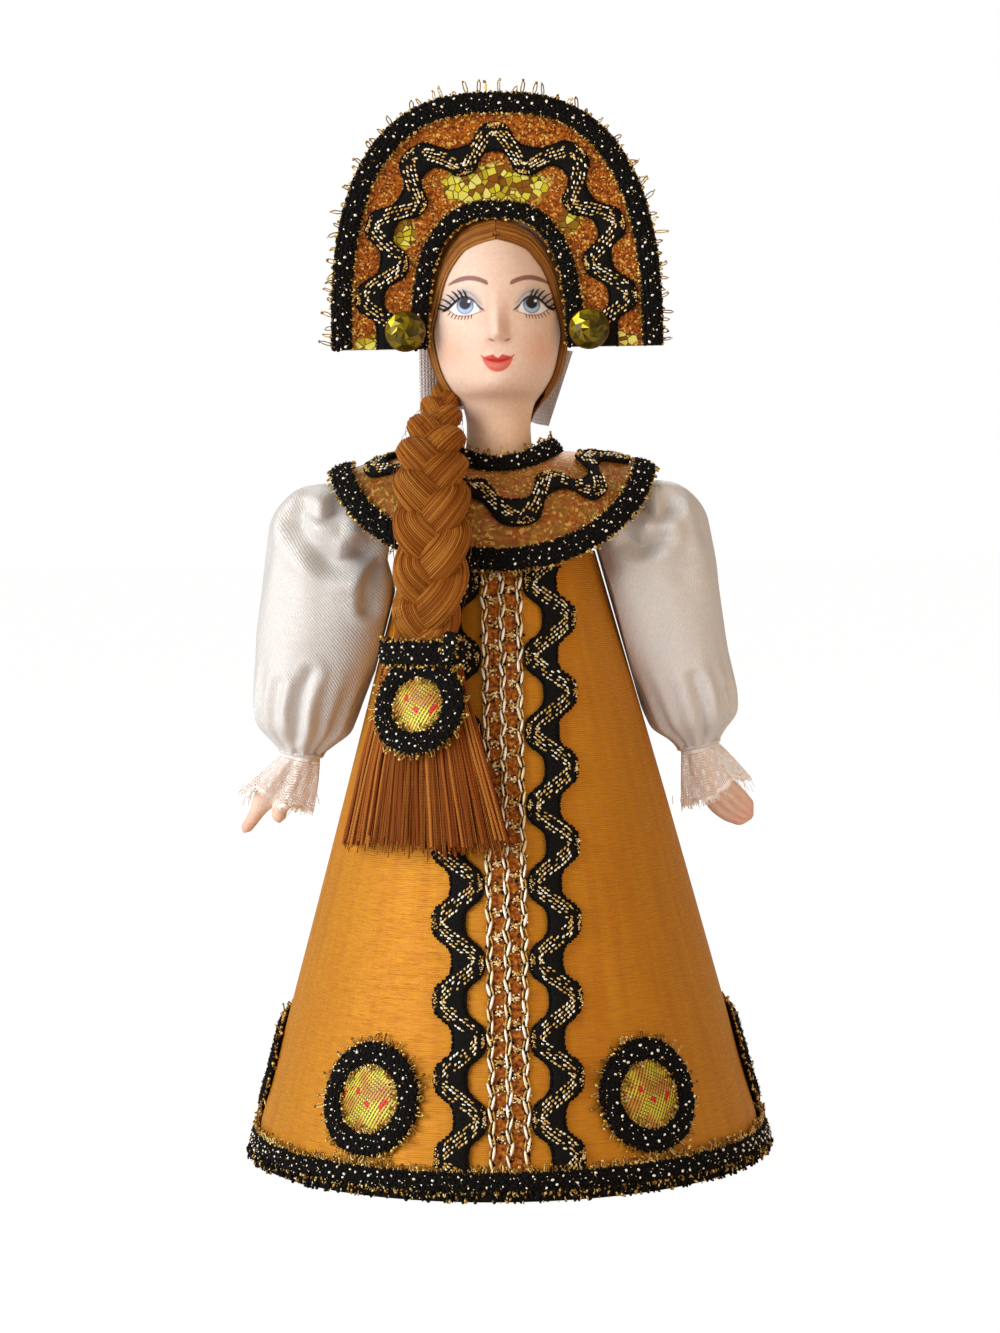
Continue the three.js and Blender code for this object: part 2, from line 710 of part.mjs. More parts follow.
function addCollar() {
  const around = 40;
  const across = 4;
  const half = collarThickness / 2;
  const loops = Array.from({ length: around }, (_, i) => {
    const angle = (2 * Math.PI * i) / around;
    const shares = range(0, 1, across);
    const side = (lift) => shares.map((share) => {
      const { point, up } = collarStation(angle, share);
      return point.addScaledVector(up, lift);
    });
    return [...side(half), ...side(-half).reverse()];
  });
  addPiece("collar", loft(loops, true), materials.brocade);

  const lift = half + gap;
  const edge = aroundCollar(around, (angle) => 1 - (collarTrimWidth / 2 - gap) / collarLength(angle));
  addPiece("collar_outer_trim", strip(edge, bandSection(collarTrimWidth, lift, trimThickness), true),
    materials.blackBraid);
  const neck = aroundCollar(26, (angle) => (neckTrimWidth / 2 - gap) / collarLength(angle));
  addPiece("collar_neck_trim", strip(neck, bandSection(neckTrimWidth, lift, trimThickness), true),
    materials.blackBraid);
  const wave = aroundCollar(collarWaves * 8, (angle) => {
    const length = collarLength(angle);
    const middle = (neckTrimWidth + length - collarTrimWidth) / 2;
    return (middle - ricRacSwing * Math.cos(collarWaves * angle)) / length;
  });
  const waveSection = flatSection(ricRacWidth, lift, ricRacThickness);
  addPiece("collar_ric_rac", strip(wave, waveSection, true), materials.ricRac);
}

// Arms. Each is built hanging from its shoulder at the origin, with x outwards, and then tilted.

const sleeveRadius = smoothTable([
  [0, shoulderPuffRadius], [6, shoulderPuffRadius + 0.3], [12, shoulderPuffRadius + 0.7],
  [18, shoulderPuffRadius + 0.8], [24, shoulderPuffRadius + 0.3], [29, shoulderPuffRadius - 0.8],
  [33, shoulderPuffRadius - 2.3], [36.5, wristRadius + 3.9], [39, wristRadius + 1.7],
  [sleeveLength, wristRadius + gap + sleeveThickness + 0.2],
]);

// Sleeve loops from the top of the puff to a depth below the shoulder, drawn in by an inset.
function sleeveLoops(inset, end, segments) {
  const topTurns = range(0.2, 1, 4).map((share) => (share * Math.PI) / 2);
  const ball = shoulderPuffRadius - inset;
  const ballLoop = (turn) => ringLoop(() => ball * Math.sin(turn), ball * Math.cos(turn), segments);
  const loops = topTurns.map(ballLoop);
  const depths = [6, 14, 21, 27, 31.5, 35].filter((depth) => depth < end - 1).concat(end);
  for (const depth of depths) {
    const plain = sleeveRadius(Math.min(depth, sleeveLength))[0] - inset;
    const gather = THREE.MathUtils.smoothstep(depth, 24, 34);
    const pleat = sleevePleatDepth * gather;
    const radiusAt = (angle) => plain * (1 + pleat * Math.cos(sleevePleats * angle));
    loops.push(ringLoop(radiusAt, -depth, segments));
  }
  return loops;
}

function ringLoop(radiusAt, z, segments) {
  return Array.from({ length: segments }, (_, i) => {
    const angle = (2 * Math.PI * i) / segments;
    return vec(radiusAt(angle) * Math.cos(angle), radiusAt(angle) * Math.sin(angle), z);
  });
}

// The slice of the sleeve that the shoulder wire passes through while the arm lifts.
function wireSlot(tilt) {
  const reach = 2 * shoulderPuffRadius;
  const spare = 26;
  const from = THREE.MathUtils.degToRad(180 - tilt - armLiftRange - spare);
  const to = THREE.MathUtils.degToRad(180 - tilt + spare);
  const shape = new THREE.Shape([
    new THREE.Vector2(0, 0),
    ...range(from, to, 6).map((turn) => new THREE.Vector2(reach * Math.cos(turn), reach * Math.sin(turn))),
  ]);
  const width = 2 * (wireRadius + 2 * gap);
  const slot = new THREE.ExtrudeGeometry(shape, { depth: width, bevelEnabled: false });
  slot.rotateX(Math.PI / 2);
  slot.translate(0, width / 2, 0);
  return slot;
}

// Everything nearer to the dress than the sleeve may come while it swings about X through the shoulder.
function dressClearance(shoulderX, tilt) {
  const clear = 1.5 * gap + satinThickness;
  const reach = 60;
  const wall = (distance) => skirtRadius(shoulderZ - distance) + clear - shoulderX;
  const profile = [[0, wall(0)], [reach, wall(reach)], [reach, wall(0) - reach], [0, wall(0) - reach]];
  const solid = turned(profile, 32);
  solid.rotateY(Math.PI / 2);
  solid.rotateY(THREE.MathUtils.degToRad(tilt));
  return solid;
}

// A hand of joined fingers, a loft of flat ovals along a bent line; drop is below the sleeve's end.
function handGeometry(openThumb) {
  const start = -(sleeveLength - wristInSleeve);
  const reach = openThumb ? 0.7 : 0;
  const ovals = [
    { x: 0, drop: -wristInSleeve, wide: wristRadius, thick: wristRadius },
    { x: 0, drop: 3, wide: 2.7, thick: 2.6 },
    { x: 0.7, drop: 6, wide: 2.9, thick: 2.3 },
    { x: 2.3, drop: 8.8, wide: 3.4 - reach, thick: 2.0 },
    { x: 4.4, drop: 11.3, wide: 3.3 - reach, thick: 1.8 },
    { x: 6.3, drop: 13.3, wide: 2.7 - reach, thick: 1.6 },
    { x: 7.8 + reach * 0.6, drop: 14.8, wide: 1.3, thick: 0.9 },
  ];
  const hand = loft(tubeLoops(ovals, 14));
  const bore = rod(vec(0, 0, start + 1), vec(0, 0, start - wireInHand - gap), wireRadius + gap, 8);
  if (!openThumb) return cut(hand, bore);
  const thumbOvals = [
    { x: -0.2, drop: 7.1, wide: 1.3, thick: 1.3 },
    { x: 0.6, drop: 10.1, wide: 1.5, thick: 1.4 },
    { x: 1.1, drop: 12.1, wide: 1.3, thick: 1.2 },
    { x: 1.4, drop: 13.3, wide: 0.7, thick: 0.7 },
  ];
  const thumbForward = 1.2;
  const thumb = loft(tubeLoops(thumbOvals, 10)).translate(0, -thumbForward, 0);
  return cut(joined(hand, thumb), bore);
}

// Ovals square to a line in the plane y = 0.
function tubeLoops(ovals, segments) {
  return ovals.map(({ x, drop, wide, thick }, i) => {
    const before = ovals[Math.max(i - 1, 0)];
    const after = ovals[Math.min(i + 1, ovals.length - 1)];
    const along = vec(after.x - before.x, 0, before.drop - after.drop).normalize();
    const across = vec(-along.z, 0, along.x);
    return Array.from({ length: segments }, (_, j) => {
      const angle = (2 * Math.PI * j) / segments;
      return vec(x, thick * Math.sin(angle), -(sleeveLength + drop))
        .addScaledVector(across, wide * Math.cos(angle));
    });
  });
}

function cuffGeometry() {
  const segments = 20;
  const start = sleeveLength + gap;
  const frill = (lift, share) => {
    const plain = wristRadius + gap + lift + cuffFlare * share ** 0.8;
    const radiusAt = (angle) => plain + cuffRipple * share * Math.cos(cuffRipples * angle);
    const lean = vec(cuffLean * share ** 1.5, 0, 0);
    return ringLoop(radiusAt, -(start + cuffLength * share), segments).map((point) => point.add(lean));
  };
  const sides = (lift) => range(0, 1, 3).map((share) => frill(lift, share));
  return loft([...sides(cuffThickness), ...sides(0).reverse()], true);
}

function addArm(side, shoulderX, tilt) {
  const name = side > 0 ? "left" : "right";
  const frame = new THREE.Group();
  frame.position.set(side * shoulderX, 0, shoulderZ);
  frame.scale.x = side;
  doll.add(frame);
  const arm = new THREE.Group();
  arm.rotation.y = -THREE.MathUtils.degToRad(tilt);
  frame.add(arm);

  const segments = 18;
  const slot = wireSlot(tilt);
  const dress = dressClearance(shoulderX, tilt);
  const outside = loft(sleeveLoops(0, sleeveLength, segments));
  const inside = loft(sleeveLoops(sleeveThickness, sleeveLength + 1, segments));
  const dressInside = dressClearance(shoulderX - sleeveThickness, tilt);
  const cavity = cut(inside, dressInside);
  addPiece(`sleeve_${name}`, cut(outside, dress, cavity, slot), materials.whiteSatin, arm);

  const waddingDepth = sleeveLength - wristInSleeve - 2 * gap;
  const wadding = loft(sleeveLoops(sleeveThickness + 2 * gap, waddingDepth, 12));
  const dressWadding = dressClearance(shoulderX - sleeveThickness - 2 * gap, tilt);
  const channel = rod(vec(0, 0, 0), vec(0, 0, -sleeveLength), wireRadius + gap, 8);
  const bendRoom = new THREE.IcosahedronGeometry(wireBendRadius + 3 * gap, 1);
  const filling = cut(wadding, dressWadding, slot, channel, bendRoom);
  addPiece(`sleeve_wadding_${name}`, filling, materials.wadding, arm);

  addPiece(`cuff_${name}`, cut(cuffGeometry(), dress), materials.whiteLace, arm);
  addPiece(`hand_${name}`, handGeometry(side < 0), materials.porcelain, arm);
  const wireEnd = sleeveLength - wristInSleeve + wireInHand;
  addPiece(`arm_wire_${name}`, rod(vec(0, 0, -wireBendRadius - gap), vec(0, 0, -wireEnd), wireRadius, 8),
    materials.wire, arm);

  const bend = joined(new THREE.IcosahedronGeometry(wireBendRadius, 1),
    rod(vec(-wireBendLength, 0, 0), vec(0, 0, 0), wireRadius, 8));
  addPiece(`wire_bend_${name}`, bend, materials.wire, frame);
}

function addArms() {
  const spare = wireBendLength + gap;
  addPiece("shoulder_wire",
    rod(vec(-rightShoulderX + spare, 0, shoulderZ), vec(leftShoulderX - spare, 0, shoulderZ), wireRadius, 8),
    materials.wire);
  addArm(1, leftShoulderX, leftArmTilt);
  addArm(-1, rightShoulderX, rightArmTilt);
}

// The plait: centre line with half-width and half-depth, from the nape over the right shoulder.
const tieMiddle = tieTop - tieHeight / 2;
const tieOut = tasselClearance + tieHalfDepth; // from the dress to the middle of the tie
const tieAngle = Math.asin(tieX / (skirtRadius(tieMiddle) + tieOut));
const tieCentre = beforeSkirt(tieAngle, tieMiddle, tieOut);
const tieBottom = tieTop - tieHeight;
const tieBoreHalfWidth = tieHalfWidth - tieWall;
const tieBoreHalfDepth = tieHalfDepth - tieWall;
const neckWide = tieBoreHalfWidth - gap;
const neckDeep = tieBoreHalfDepth - gap;

const braidShoulder = vec(-14, -4, 138.5);
const braidUpperLine = [
  { at: vec(-5.5, 9.8, 143.4), wide: 2.4, deep: 2.0 },
  { at: vec(-9.2, 6.8, 143.0), wide: 2.8, deep: 2.4 },
  { at: vec(-12.0, 2.4, 141.6), wide: 3.4, deep: 3.0 },
  { at: braidShoulder, wide: 4.2, deep: 3.6 },
];
const braidLine = [
  { at: vec(-14.0, -5.6, 137.8), wide: 4.0, deep: 3.4 },
  { at: vec(-13.9, -11.6, 135.4), wide: 6.0, deep: 3.6 },
  { at: vec(-13.0, -18.2, 131.0), wide: 6.5, deep: 3.9 },
  { at: vec(-12.4, -23.6, 124.4), wide: 6.6, deep: 4.0 },
  { at: vec(-12.4, -26.2, 117.0), wide: 6.6, deep: 4.0 },
  { at: vec(-12.8, -27.0, 109.5), wide: 6.3, deep: 3.9 },
  { at: vec(-13.7, -26.4, 103.4), wide: 6.0, deep: 3.5 },
  { at: tieCentre.clone().add(vec(0.1, -0.2, tieHeight)), wide: neckWide, deep: neckDeep },
  { at: tieCentre.clone().add(vec(0, 0, gap)), wide: neckWide, deep: neckDeep },
];
const plaitCrossings = 6;
const plaitDepth = 0.05; // share of the width by which each lobe swells

// Oval loops along a line, turning from square to the doll at the top to square to the dress at the tie.
function braidLoops(line, segments, perSpan, lobeDepth, endAngle) {
  const curve = new THREE.CatmullRomCurve3(line.map(({ at }) => at), false, "centripetal");
  const count = (line.length - 1) * perSpan;
  return Array.from({ length: count + 1 }, (_, i) => {
    const t = i / count;
    const point = curve.getPoint(t);
    const along = curve.getTangent(t);
    const span = Math.min(Math.floor(t * (line.length - 1)), line.length - 2);
    const share = t * (line.length - 1) - span;
    const wide = THREE.MathUtils.lerp(line[span].wide, line[span + 1].wide, share);
    const deep = THREE.MathUtils.lerp(line[span].deep, line[span + 1].deep, share);
    const facing = endAngle * THREE.MathUtils.smoothstep(t, 0.45, 1);
    const across = vec(Math.cos(facing), Math.sin(facing), 0);
    across.addScaledVector(along, -along.dot(across)).normalize();
    const out = along.clone().cross(across).normalize();
    const fade = 1 - THREE.MathUtils.smoothstep(t, 0.75, 0.9);
    return Array.from({ length: segments }, (_, j) => {
      const angle = (2 * Math.PI * j) / segments;
      const phase = 2 * Math.PI * plaitCrossings * t + (Math.cos(angle) > 0 ? Math.PI : 0);
      const lobe = 1 + lobeDepth * fade * Math.cos(phase);
      return point.clone()
        .addScaledVector(across, wide * lobe * Math.cos(angle))
        .addScaledVector(out, deep * Math.sin(angle));
    });
  });
}

// An oval at the tie, square to the dress behind it.
function tieLoop(halfWidth, halfDepth, z, segments) {
  const along = vec(Math.cos(tieAngle), Math.sin(tieAngle), 0);
  const out = vec(Math.sin(tieAngle), -Math.cos(tieAngle), 0);
  return Array.from({ length: segments }, (_, i) => {
    const angle = (2 * Math.PI * i) / segments;
    return vec(tieCentre.x, tieCentre.y, z)
      .addScaledVector(along, halfWidth * Math.cos(angle))
      .addScaledVector(out, halfDepth * Math.sin(angle));
  });
}

function addBraid() {
  const ball = (radius) => new THREE.SphereGeometry(radius, 12, 8)
    .translate(braidShoulder.x, braidShoulder.y, braidShoulder.z);
  const upper = loft(braidLoops(braidUpperLine, 10, 2, 0, 0));
  addPiece("braid_upper", cut(upper, ball(braidBallRadius + 2 * gap)), materials.hair);
  const hanging = loft(braidLoops(braidLine, 12, 2, plaitDepth, tieAngle));
  addPiece("braid", joined(hanging, ball(braidBallRadius)), materials.hair);

  const tieSegments = 20;
  addPiece("braid_tie", loft([
    tieLoop(tieHalfWidth, tieHalfDepth, tieBottom, tieSegments),
    tieLoop(tieHalfWidth, tieHalfDepth, tieTop, tieSegments),
    tieLoop(tieBoreHalfWidth, tieBoreHalfDepth, tieTop, tieSegments),
    tieLoop(tieBoreHalfWidth, tieBoreHalfDepth, tieBottom, tieSegments),
  ], true), materials.blackBraid);

  // The tassel fans out over the dress below the tie: edges, and faces as distances from the dress.
  const tasselSegments = 20;
  const rows = [
    { z: 92.4, left: -22.4, right: -7.2, back: 1.9, front: 6.9 },
    { z: 89, left: -23.2, right: -6.4, back: tasselClearance, front: 7.0 },
    { z: 83, left: -24.6, right: -4.8, back: tasselClearance, front: 6.8 },
    { z: 76, left: -26.6, right: -2.8, back: tasselClearance, front: 6.6 },
    { z: 69, left: -28.4, right: -0.9, back: tasselClearance, front: 6.2 },
    { z: tasselBottom, left: -30.2, right: 0.9, back: tasselClearance, front: 5.6 },
  ];
  const fan = rows.map(({ z, left, right, back, front }) => Array.from({ length: tasselSegments }, (_, i) => {
    const turn = (2 * Math.PI * i) / tasselSegments;
    const middle = (back + front) / 2;
    const x = (left + right) / 2 + ((right - left) / 2) * Math.cos(turn);
    const squareness = Math.sign(Math.sin(turn)) * Math.abs(Math.sin(turn)) ** 0.7;
    const distance = middle + ((front - back) / 2) * squareness;
    return beforeSkirt(Math.asin(x / (skirtRadius(z) + middle)), z, distance);
  }));
  addPiece("tassel", loft([
    tieLoop(neckWide, neckDeep, tieMiddle - gap, tasselSegments),
    tieLoop(neckWide, neckDeep, tieBottom - 2 * gap, tasselSegments),
    ...fan,
  ]), materials.hair);

  const medallionAngle = Math.asin(braidMedallionX / (skirtRadius(braidMedallionZ) + braidMedallionLift));
  const foot = braidMedallionZ - braidMedallionLift * Math.sin(skirtLean);
  addMedallion("braid_medallion_ring", "braid_medallion_patch", braidMedallionRadius,
    (flat) => wrapOnSkirt(flat, medallionAngle, foot, braidMedallionLift));
}

addSkirt();
addFrontTrims();
addSkirtMedallions();
addBust();
addWig();
addHeadTape();
addKokoshnik();
addCollar();
addArms();
addBraid();

export default doll;
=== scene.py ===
# Costume doll in a kokoshnik: the dressed model over the CAD frame.
# Sizes are millimetres until a mesh is made. +Z is up and the doll faces -Y.
import math
import bmesh
import bpy
import numpy as np
from mathutils import Matrix, Vector


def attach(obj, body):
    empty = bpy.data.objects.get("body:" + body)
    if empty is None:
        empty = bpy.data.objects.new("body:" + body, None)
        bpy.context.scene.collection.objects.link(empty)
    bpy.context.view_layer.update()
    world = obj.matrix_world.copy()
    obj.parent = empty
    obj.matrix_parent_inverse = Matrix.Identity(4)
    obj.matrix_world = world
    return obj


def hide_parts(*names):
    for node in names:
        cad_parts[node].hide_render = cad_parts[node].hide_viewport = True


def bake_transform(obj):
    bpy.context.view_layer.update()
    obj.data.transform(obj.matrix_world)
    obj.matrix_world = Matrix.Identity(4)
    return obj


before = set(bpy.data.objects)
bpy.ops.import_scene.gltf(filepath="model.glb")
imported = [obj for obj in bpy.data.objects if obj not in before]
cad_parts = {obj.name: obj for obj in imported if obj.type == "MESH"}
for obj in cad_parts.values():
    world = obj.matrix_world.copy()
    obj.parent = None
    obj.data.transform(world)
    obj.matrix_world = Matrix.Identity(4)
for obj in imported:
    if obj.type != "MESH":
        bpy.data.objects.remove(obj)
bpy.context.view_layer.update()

mm = 0.001
tau = 2 * math.pi
root = "dressed_body"
random = np.random.default_rng(11)
uniform, normal = random.uniform, random.normal


# Arrays

# Points from three coordinates that are spread to one shape.
def triples(x, y, z):
    return np.stack(np.broadcast_arrays(x, y, z), -1)


# Angles at even steps round a circle.
def around(count):
    return np.linspace(0, tau, count, endpoint=False)


# How far along a line each of its points is.
def runLengths(line):
    return np.concatenate([[0], np.cumsum(np.linalg.norm(np.diff(line, axis=0), axis=1))])


# Rows of values read at places along their lengths.
def readAt(places, lengths, values):
    return np.stack([np.interp(places, lengths, column) for column in values.T], -1)


# Vectors divided by their lengths.
def unit(vectors):
    length = np.linalg.norm(vectors, axis=-1, keepdims=True)
    return vectors / np.maximum(length, 1e-9)


# 0 up to low and 1 from high on, with an eased step between.
def smooth(low, high, value):
    share = np.clip((value - low) / (high - low), 0, 1)
    return share * share * (3 - 2 * share)


# Bell of height 1 round a centre.
def bump(value, centre, spread):
    return np.exp(-(((value - centre) / spread) ** 2))


# Cubic through the rows of a table whose first column rises, one result column per further column.
def smoothTable(rows):
    table = np.array(rows, float)
    knots, values = table[:, 0], table[:, 1:]
    slopes = np.gradient(values, knots, axis=0)

    def at(x):
        x = np.asarray(x, float)
        i = np.clip(np.searchsorted(knots, x, side="right") - 1, 0, len(knots) - 2)
        run = knots[i + 1] - knots[i]
        t = np.clip((x - knots[i]) / run, 0, 1)[..., None]
        run = run[..., None]
        start, end = values[i], values[i + 1]
        first, last = slopes[i] * run, slopes[i + 1] * run
        rise = end - start
        square = 3 * rise - 2 * first - last
        cube = first + last - 2 * rise
        return start + t * (first + t * (square + t * cube))

    return at


# Points spaced evenly along a line, by straight steps between its own points.
def respace(line, count):
    lengths = runLengths(line)
    return readAt(np.linspace(0, lengths[-1], count), lengths, line)


# Catmull-Rom curve through given points.
def curveThrough(points, count):
    points = np.array(points, float)
    padded = np.vstack([2 * points[0] - points[1], points, 2 * points[-1] - points[-2]])
    t = np.linspace(0, len(points) - 1, count)
    i = np.minimum(t.astype(int), len(points) - 2)
    u = (t - i)[:, None]
    a, b, c, d = (padded[i + step] for step in range(4))
    square = 2 * a - 5 * b + 4 * c - d
    cube = 3 * b - a - 3 * c + d
    return 0.5 * (2 * b + (c - a) * u + square * u ** 2 + cube * u ** 3)


# Meshes. A part is a dictionary of points, faces, a material, and what its material reads: cloth,
# the place on the unrolled cloth in millimetres, tone, a random number per thread, and paint, a colour.

# Faces between the neighbours of a grid of points.
def gridFaces(rows, columns, wrapRows=False, wrapColumns=False):
    r, c = np.meshgrid(np.arange(rows if wrapRows else rows - 1),
                       np.arange(columns if wrapColumns else columns - 1), indexing="ij")
    up, right = (r + 1) % rows, (c + 1) % columns
    corners = [r * columns + c, r * columns + right, up * columns + right, up * columns + c]
    return np.stack(corners, -1).reshape(-1, 4)


def makePart(points, faces, material, cloth=None, tone=None):
    points = np.asarray(points, float).reshape(-1, 3)
    cloth = points if cloth is None else np.asarray(cloth, float).reshape(-1, 3)
    tone = np.zeros(len(points)) if tone is None else np.asarray(tone, float).ravel()
    return {"points": points, "faces": faces, "material": material, "cloth": cloth, "tone": tone,
            "paint": np.ones((len(points), 4))}


# A surface from a grid of points; cloth is measured along the middle row and column.
def surfacePart(points, material, wrapRows=False, wrapColumns=False, cloth=None, tone=None):
    rows, columns = points.shape[:2]
    if cloth is None:
        cloth = triples(runLengths(points[rows // 2]), runLengths(points[:, columns // 2])[:, None], 0.0)
    return makePart(points, gridFaces(rows, columns, wrapRows, wrapColumns), material, cloth, tone)


# Many tubes at once: paths is tubes x steps x 3, and radius one number or tubes x steps.
def tubesPart(paths, radius, material, sides=4, closed=False, tones=None):
    paths = np.asarray(paths, float)
    count, steps = paths.shape[:2]
    ahead = np.roll(paths, -1, 1) - np.roll(paths, 1, 1)
    if not closed:
        ahead[:, 0] = paths[:, 1] - paths[:, 0]
        ahead[:, -1] = paths[:, -1] - paths[:, -2]
    ahead = unit(ahead)
    mean = np.abs(ahead).mean(axis=1)
    guide = np.eye(3)[np.argmin(mean, axis=1)][:, None, :]
    side = unit(np.cross(ahead, guide))
    up = np.cross(side, ahead)
    turn = tau * np.arange(sides) / sides
    radius = np.broadcast_to(radius, (count, steps))[:, :, None, None]
    ring = side[:, :, None] * np.cos(turn)[:, None] + up[:, :, None] * np.sin(turn)[:, None]
    points = paths[:, :, None] + radius * ring
    one = gridFaces(steps, sides, closed, True)
    faces = (one[None] + (np.arange(count) * steps * sides)[:, None, None]).reshape(-1, 4)
    lengths = np.concatenate([np.zeros((count, 1)),
                              np.cumsum(np.linalg.norm(np.diff(paths, axis=1), axis=2), axis=1)], axis=1)
    spread = np.broadcast_to(turn / tau, (count, steps, sides))
    cloth = triples(np.broadcast_to(lengths[:, :, None], spread.shape), spread, 0.0)
    tones = random.random(count) if tones is None else tones
    tone = np.broadcast_to(np.asarray(tones)[:, None, None], spread.shape)
    return makePart(points, faces, material, cloth, tone)


# A ball of radius 1 as triangles.
def ballShape(divisions):
    mesh = bpy.data.meshes.new("ball")
    made = bmesh.new()
    bmesh.ops.create_icosphere(made, subdivisions=divisions, radius=1)
    points = np.array([v.co[:] for v in made.verts])
    faces = np.array([[v.index for v in f.verts] for f in made.faces])
    made.free()
    bpy.data.meshes.remove(mesh)
    return points, faces


smallBall = ballShape(1)
roundBall = ballShape(2)


# Copies of a ball, each with its place, its three axes and its three half-sizes.
def stampsPart(shape, places, axes, sizes, material, tones=None):
    base, faces = shape
    count = len(places)
    sizes = np.broadcast_to(sizes, (count, 3))
    points = places[:, None] + np.einsum("pk,nk,nkj->npj", base, sizes, axes)
    allFaces = (faces[None] + (np.arange(count) * len(base))[:, None, None]).reshape(-1, 3)
    tones = random.random(count) if tones is None else tones
    return makePart(points, allFaces, material, None, np.repeat(tones, len(base)))


# One object from parts, riding on a body in place of the CAD nodes that it stands for.
def addPiece(name, parts, stands, body=root, shade=True):
    mesh = bpy.data.meshes.new(name)
    points = np.concatenate([part["points"] for part in parts]) * mm
    starts = np.cumsum([0] + [len(part["points"]) for part in parts[:-1]])
    loops, sizes, kinds, materials = [], [], [], []
    for part, start in zip(parts, starts):
        if part["material"] not in materials:
            materials.append(part["material"])
        loops.append((part["faces"] + start).ravel())
        sizes.append(np.full(len(part["faces"]), part["faces"].shape[1]))
        kinds.append(np.full(len(part["faces"]), materials.index(part["material"])))
    loops, sizes, kinds = (np.concatenate(each) for each in (loops, sizes, kinds))
    mesh.vertices.add(len(points))
    mesh.vertices.foreach_set("co", points.ravel())
    mesh.loops.add(len(loops))
    mesh.loops.foreach_set("vertex_index", loops)
    mesh.polygons.add(len(sizes))
    mesh.polygons.foreach_set("loop_start", np.concatenate([[0], np.cumsum(sizes)[:-1]]))
    for material in materials:
        mesh.materials.append(material)
    mesh.polygons.foreach_set("material_index", kinds)
    mesh.polygons.foreach_set("use_smooth", np.full(len(sizes), shade))
    mesh.update(calc_edges=True)
    for key, kind, field in (("cloth", "FLOAT_VECTOR", "vector"), ("tone", "FLOAT", "value"),
                             ("paint", "FLOAT_COLOR", "color")):
        values = np.concatenate([part[key] for part in parts])
        mesh.attributes.new(key, kind, "POINT").data.foreach_set(field, values.ravel())
    piece = bpy.data.objects.new(name, mesh)
    bpy.context.scene.collection.objects.link(piece)
    if body is not None:
        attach(piece, body)
    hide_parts(*stands)
    return piece


# Materials

# Linear light from display values of 0 to 255, by the sRGB curve.
def linearColours(shade):
    value = np.clip(np.asarray(shade, float) / 255, 0, 1)
    value = np.where(value <= 0.04045, value / 12.92, ((value + 0.055) / 1.055) ** 2.4)
    return np.concatenate([value, np.ones(value.shape[:-1] + (1,))], -1)


# One colour for a material, from display values.
def colour(red, green, blue):
    return tuple(linearColours((red, green, blue)).tolist())


# A node's inputs, each from another node or as a plain value.
def setInputs(material, node, inputs):
    for key, value in inputs.items():
        if isinstance(value, bpy.types.NodeSocket):
            material.node_tree.links.new(value, node.inputs[key])
        else:
            node.inputs[key].default_value = value


def setShader(material, inputs):
    setInputs(material, material.node_tree.nodes["Principled BSDF"], inputs)


def newMaterial(name, **values):
    material = bpy.data.materials.new(name)
    material.use_nodes = True
    setShader(material, {key.replace("_", " "): value for key, value in values.items()})
    return material


def addNode(material, kind, inputs=None, **settings):
    made = material.node_tree.nodes.new(kind)
    for key, value in settings.items():
        setattr(made, key, value)
    setInputs(material, made, inputs or {})
    return made


def readAttribute(material, name, output):
    return addNode(material, "ShaderNodeAttribute", attribute_name=name).outputs[output]


# Cloth coordinates in millimetres, scaled.
def clothPlace(material, scale=(1, 1, 1)):
    place = readAttribute(material, "cloth", "Vector")
    return addNode(material, "ShaderNodeVectorMath", {0: place, 1: scale}, operation="MULTIPLY").outputs[0]


def noise(material, place, scale, detail=2.0, output="Fac"):
    inputs = {"Vector": place, "Scale": scale, "Detail": detail}
    return addNode(material, "ShaderNodeTexNoise", inputs).outputs[output]


def bands(material, place, scale, direction="X", distortion=0.0):
    inputs = {"Vector": place, "Scale": scale, "Distortion": distortion}
    return addNode(material, "ShaderNodeTexWave", inputs, bands_direction=direction).outputs["Fac"]


def cells(material, place, scale, output="Color", feature="F1"):
    inputs = {"Vector": place, "Scale": scale}
    return addNode(material, "ShaderNodeTexVoronoi", inputs, feature=feature).outputs[output]


# One channel of a colour: 0 red, 1 green, 2 blue.
def brightness(material, shade, channel=0):
    return addNode(material, "ShaderNodeSeparateColor", {0: shade}).outputs[channel]


# Colours between stops, each a value and a red, a green and a blue.
def ramp(material, factor, stops):
    made = addNode(material, "ShaderNodeValToRGB", {"Fac": factor})
    elements = made.color_ramp.elements
    while len(elements) < len(stops):
        elements.new(0.5)
    for element, (position, *shade) in zip(elements, stops):
        element.position = position
        element.color = colour(*shade)
    return made.outputs["Color"]


# Colours between stops by the tone of each thread.
def byTone(material, stops):
    return ramp(material, readAttribute(material, "tone", "Fac"), stops)


# From black to white between two values.
def fade(material, factor, low, high):
    return ramp(material, factor, [(low, 0, 0, 0), (high, 255, 255, 255)])


def mixed(material, factor, first, second, blend="MIX"):
    inputs = {0: factor, 6: first, 7: second}
    return addNode(material, "ShaderNodeMix", inputs, data_type="RGBA", blend_type=blend).outputs[2]


def maths(material, operation, first, second):
    return addNode(material, "ShaderNodeMath", {0: first, 1: second}, operation=operation).outputs[0]


def product(material, first, second):
    return maths(material, "MULTIPLY", first, second)


# Bumps by a height, over the bumps of another relief if there is one.
def relief(material, height, distance, strength, under=None):
    inputs = {"Height": height, "Distance": distance, "Strength": strength}
    if under is not None:
        inputs["Normal"] = under
    return addNode(material, "ShaderNodeBump", inputs).outputs["Normal"]


# A material with a colour between stops for each thread's tone.
def tonedMaterial(name, stops, **values):
    material = newMaterial(name, **values)
    setShader(material, {"Base Color": byTone(material, stops)})
    return material


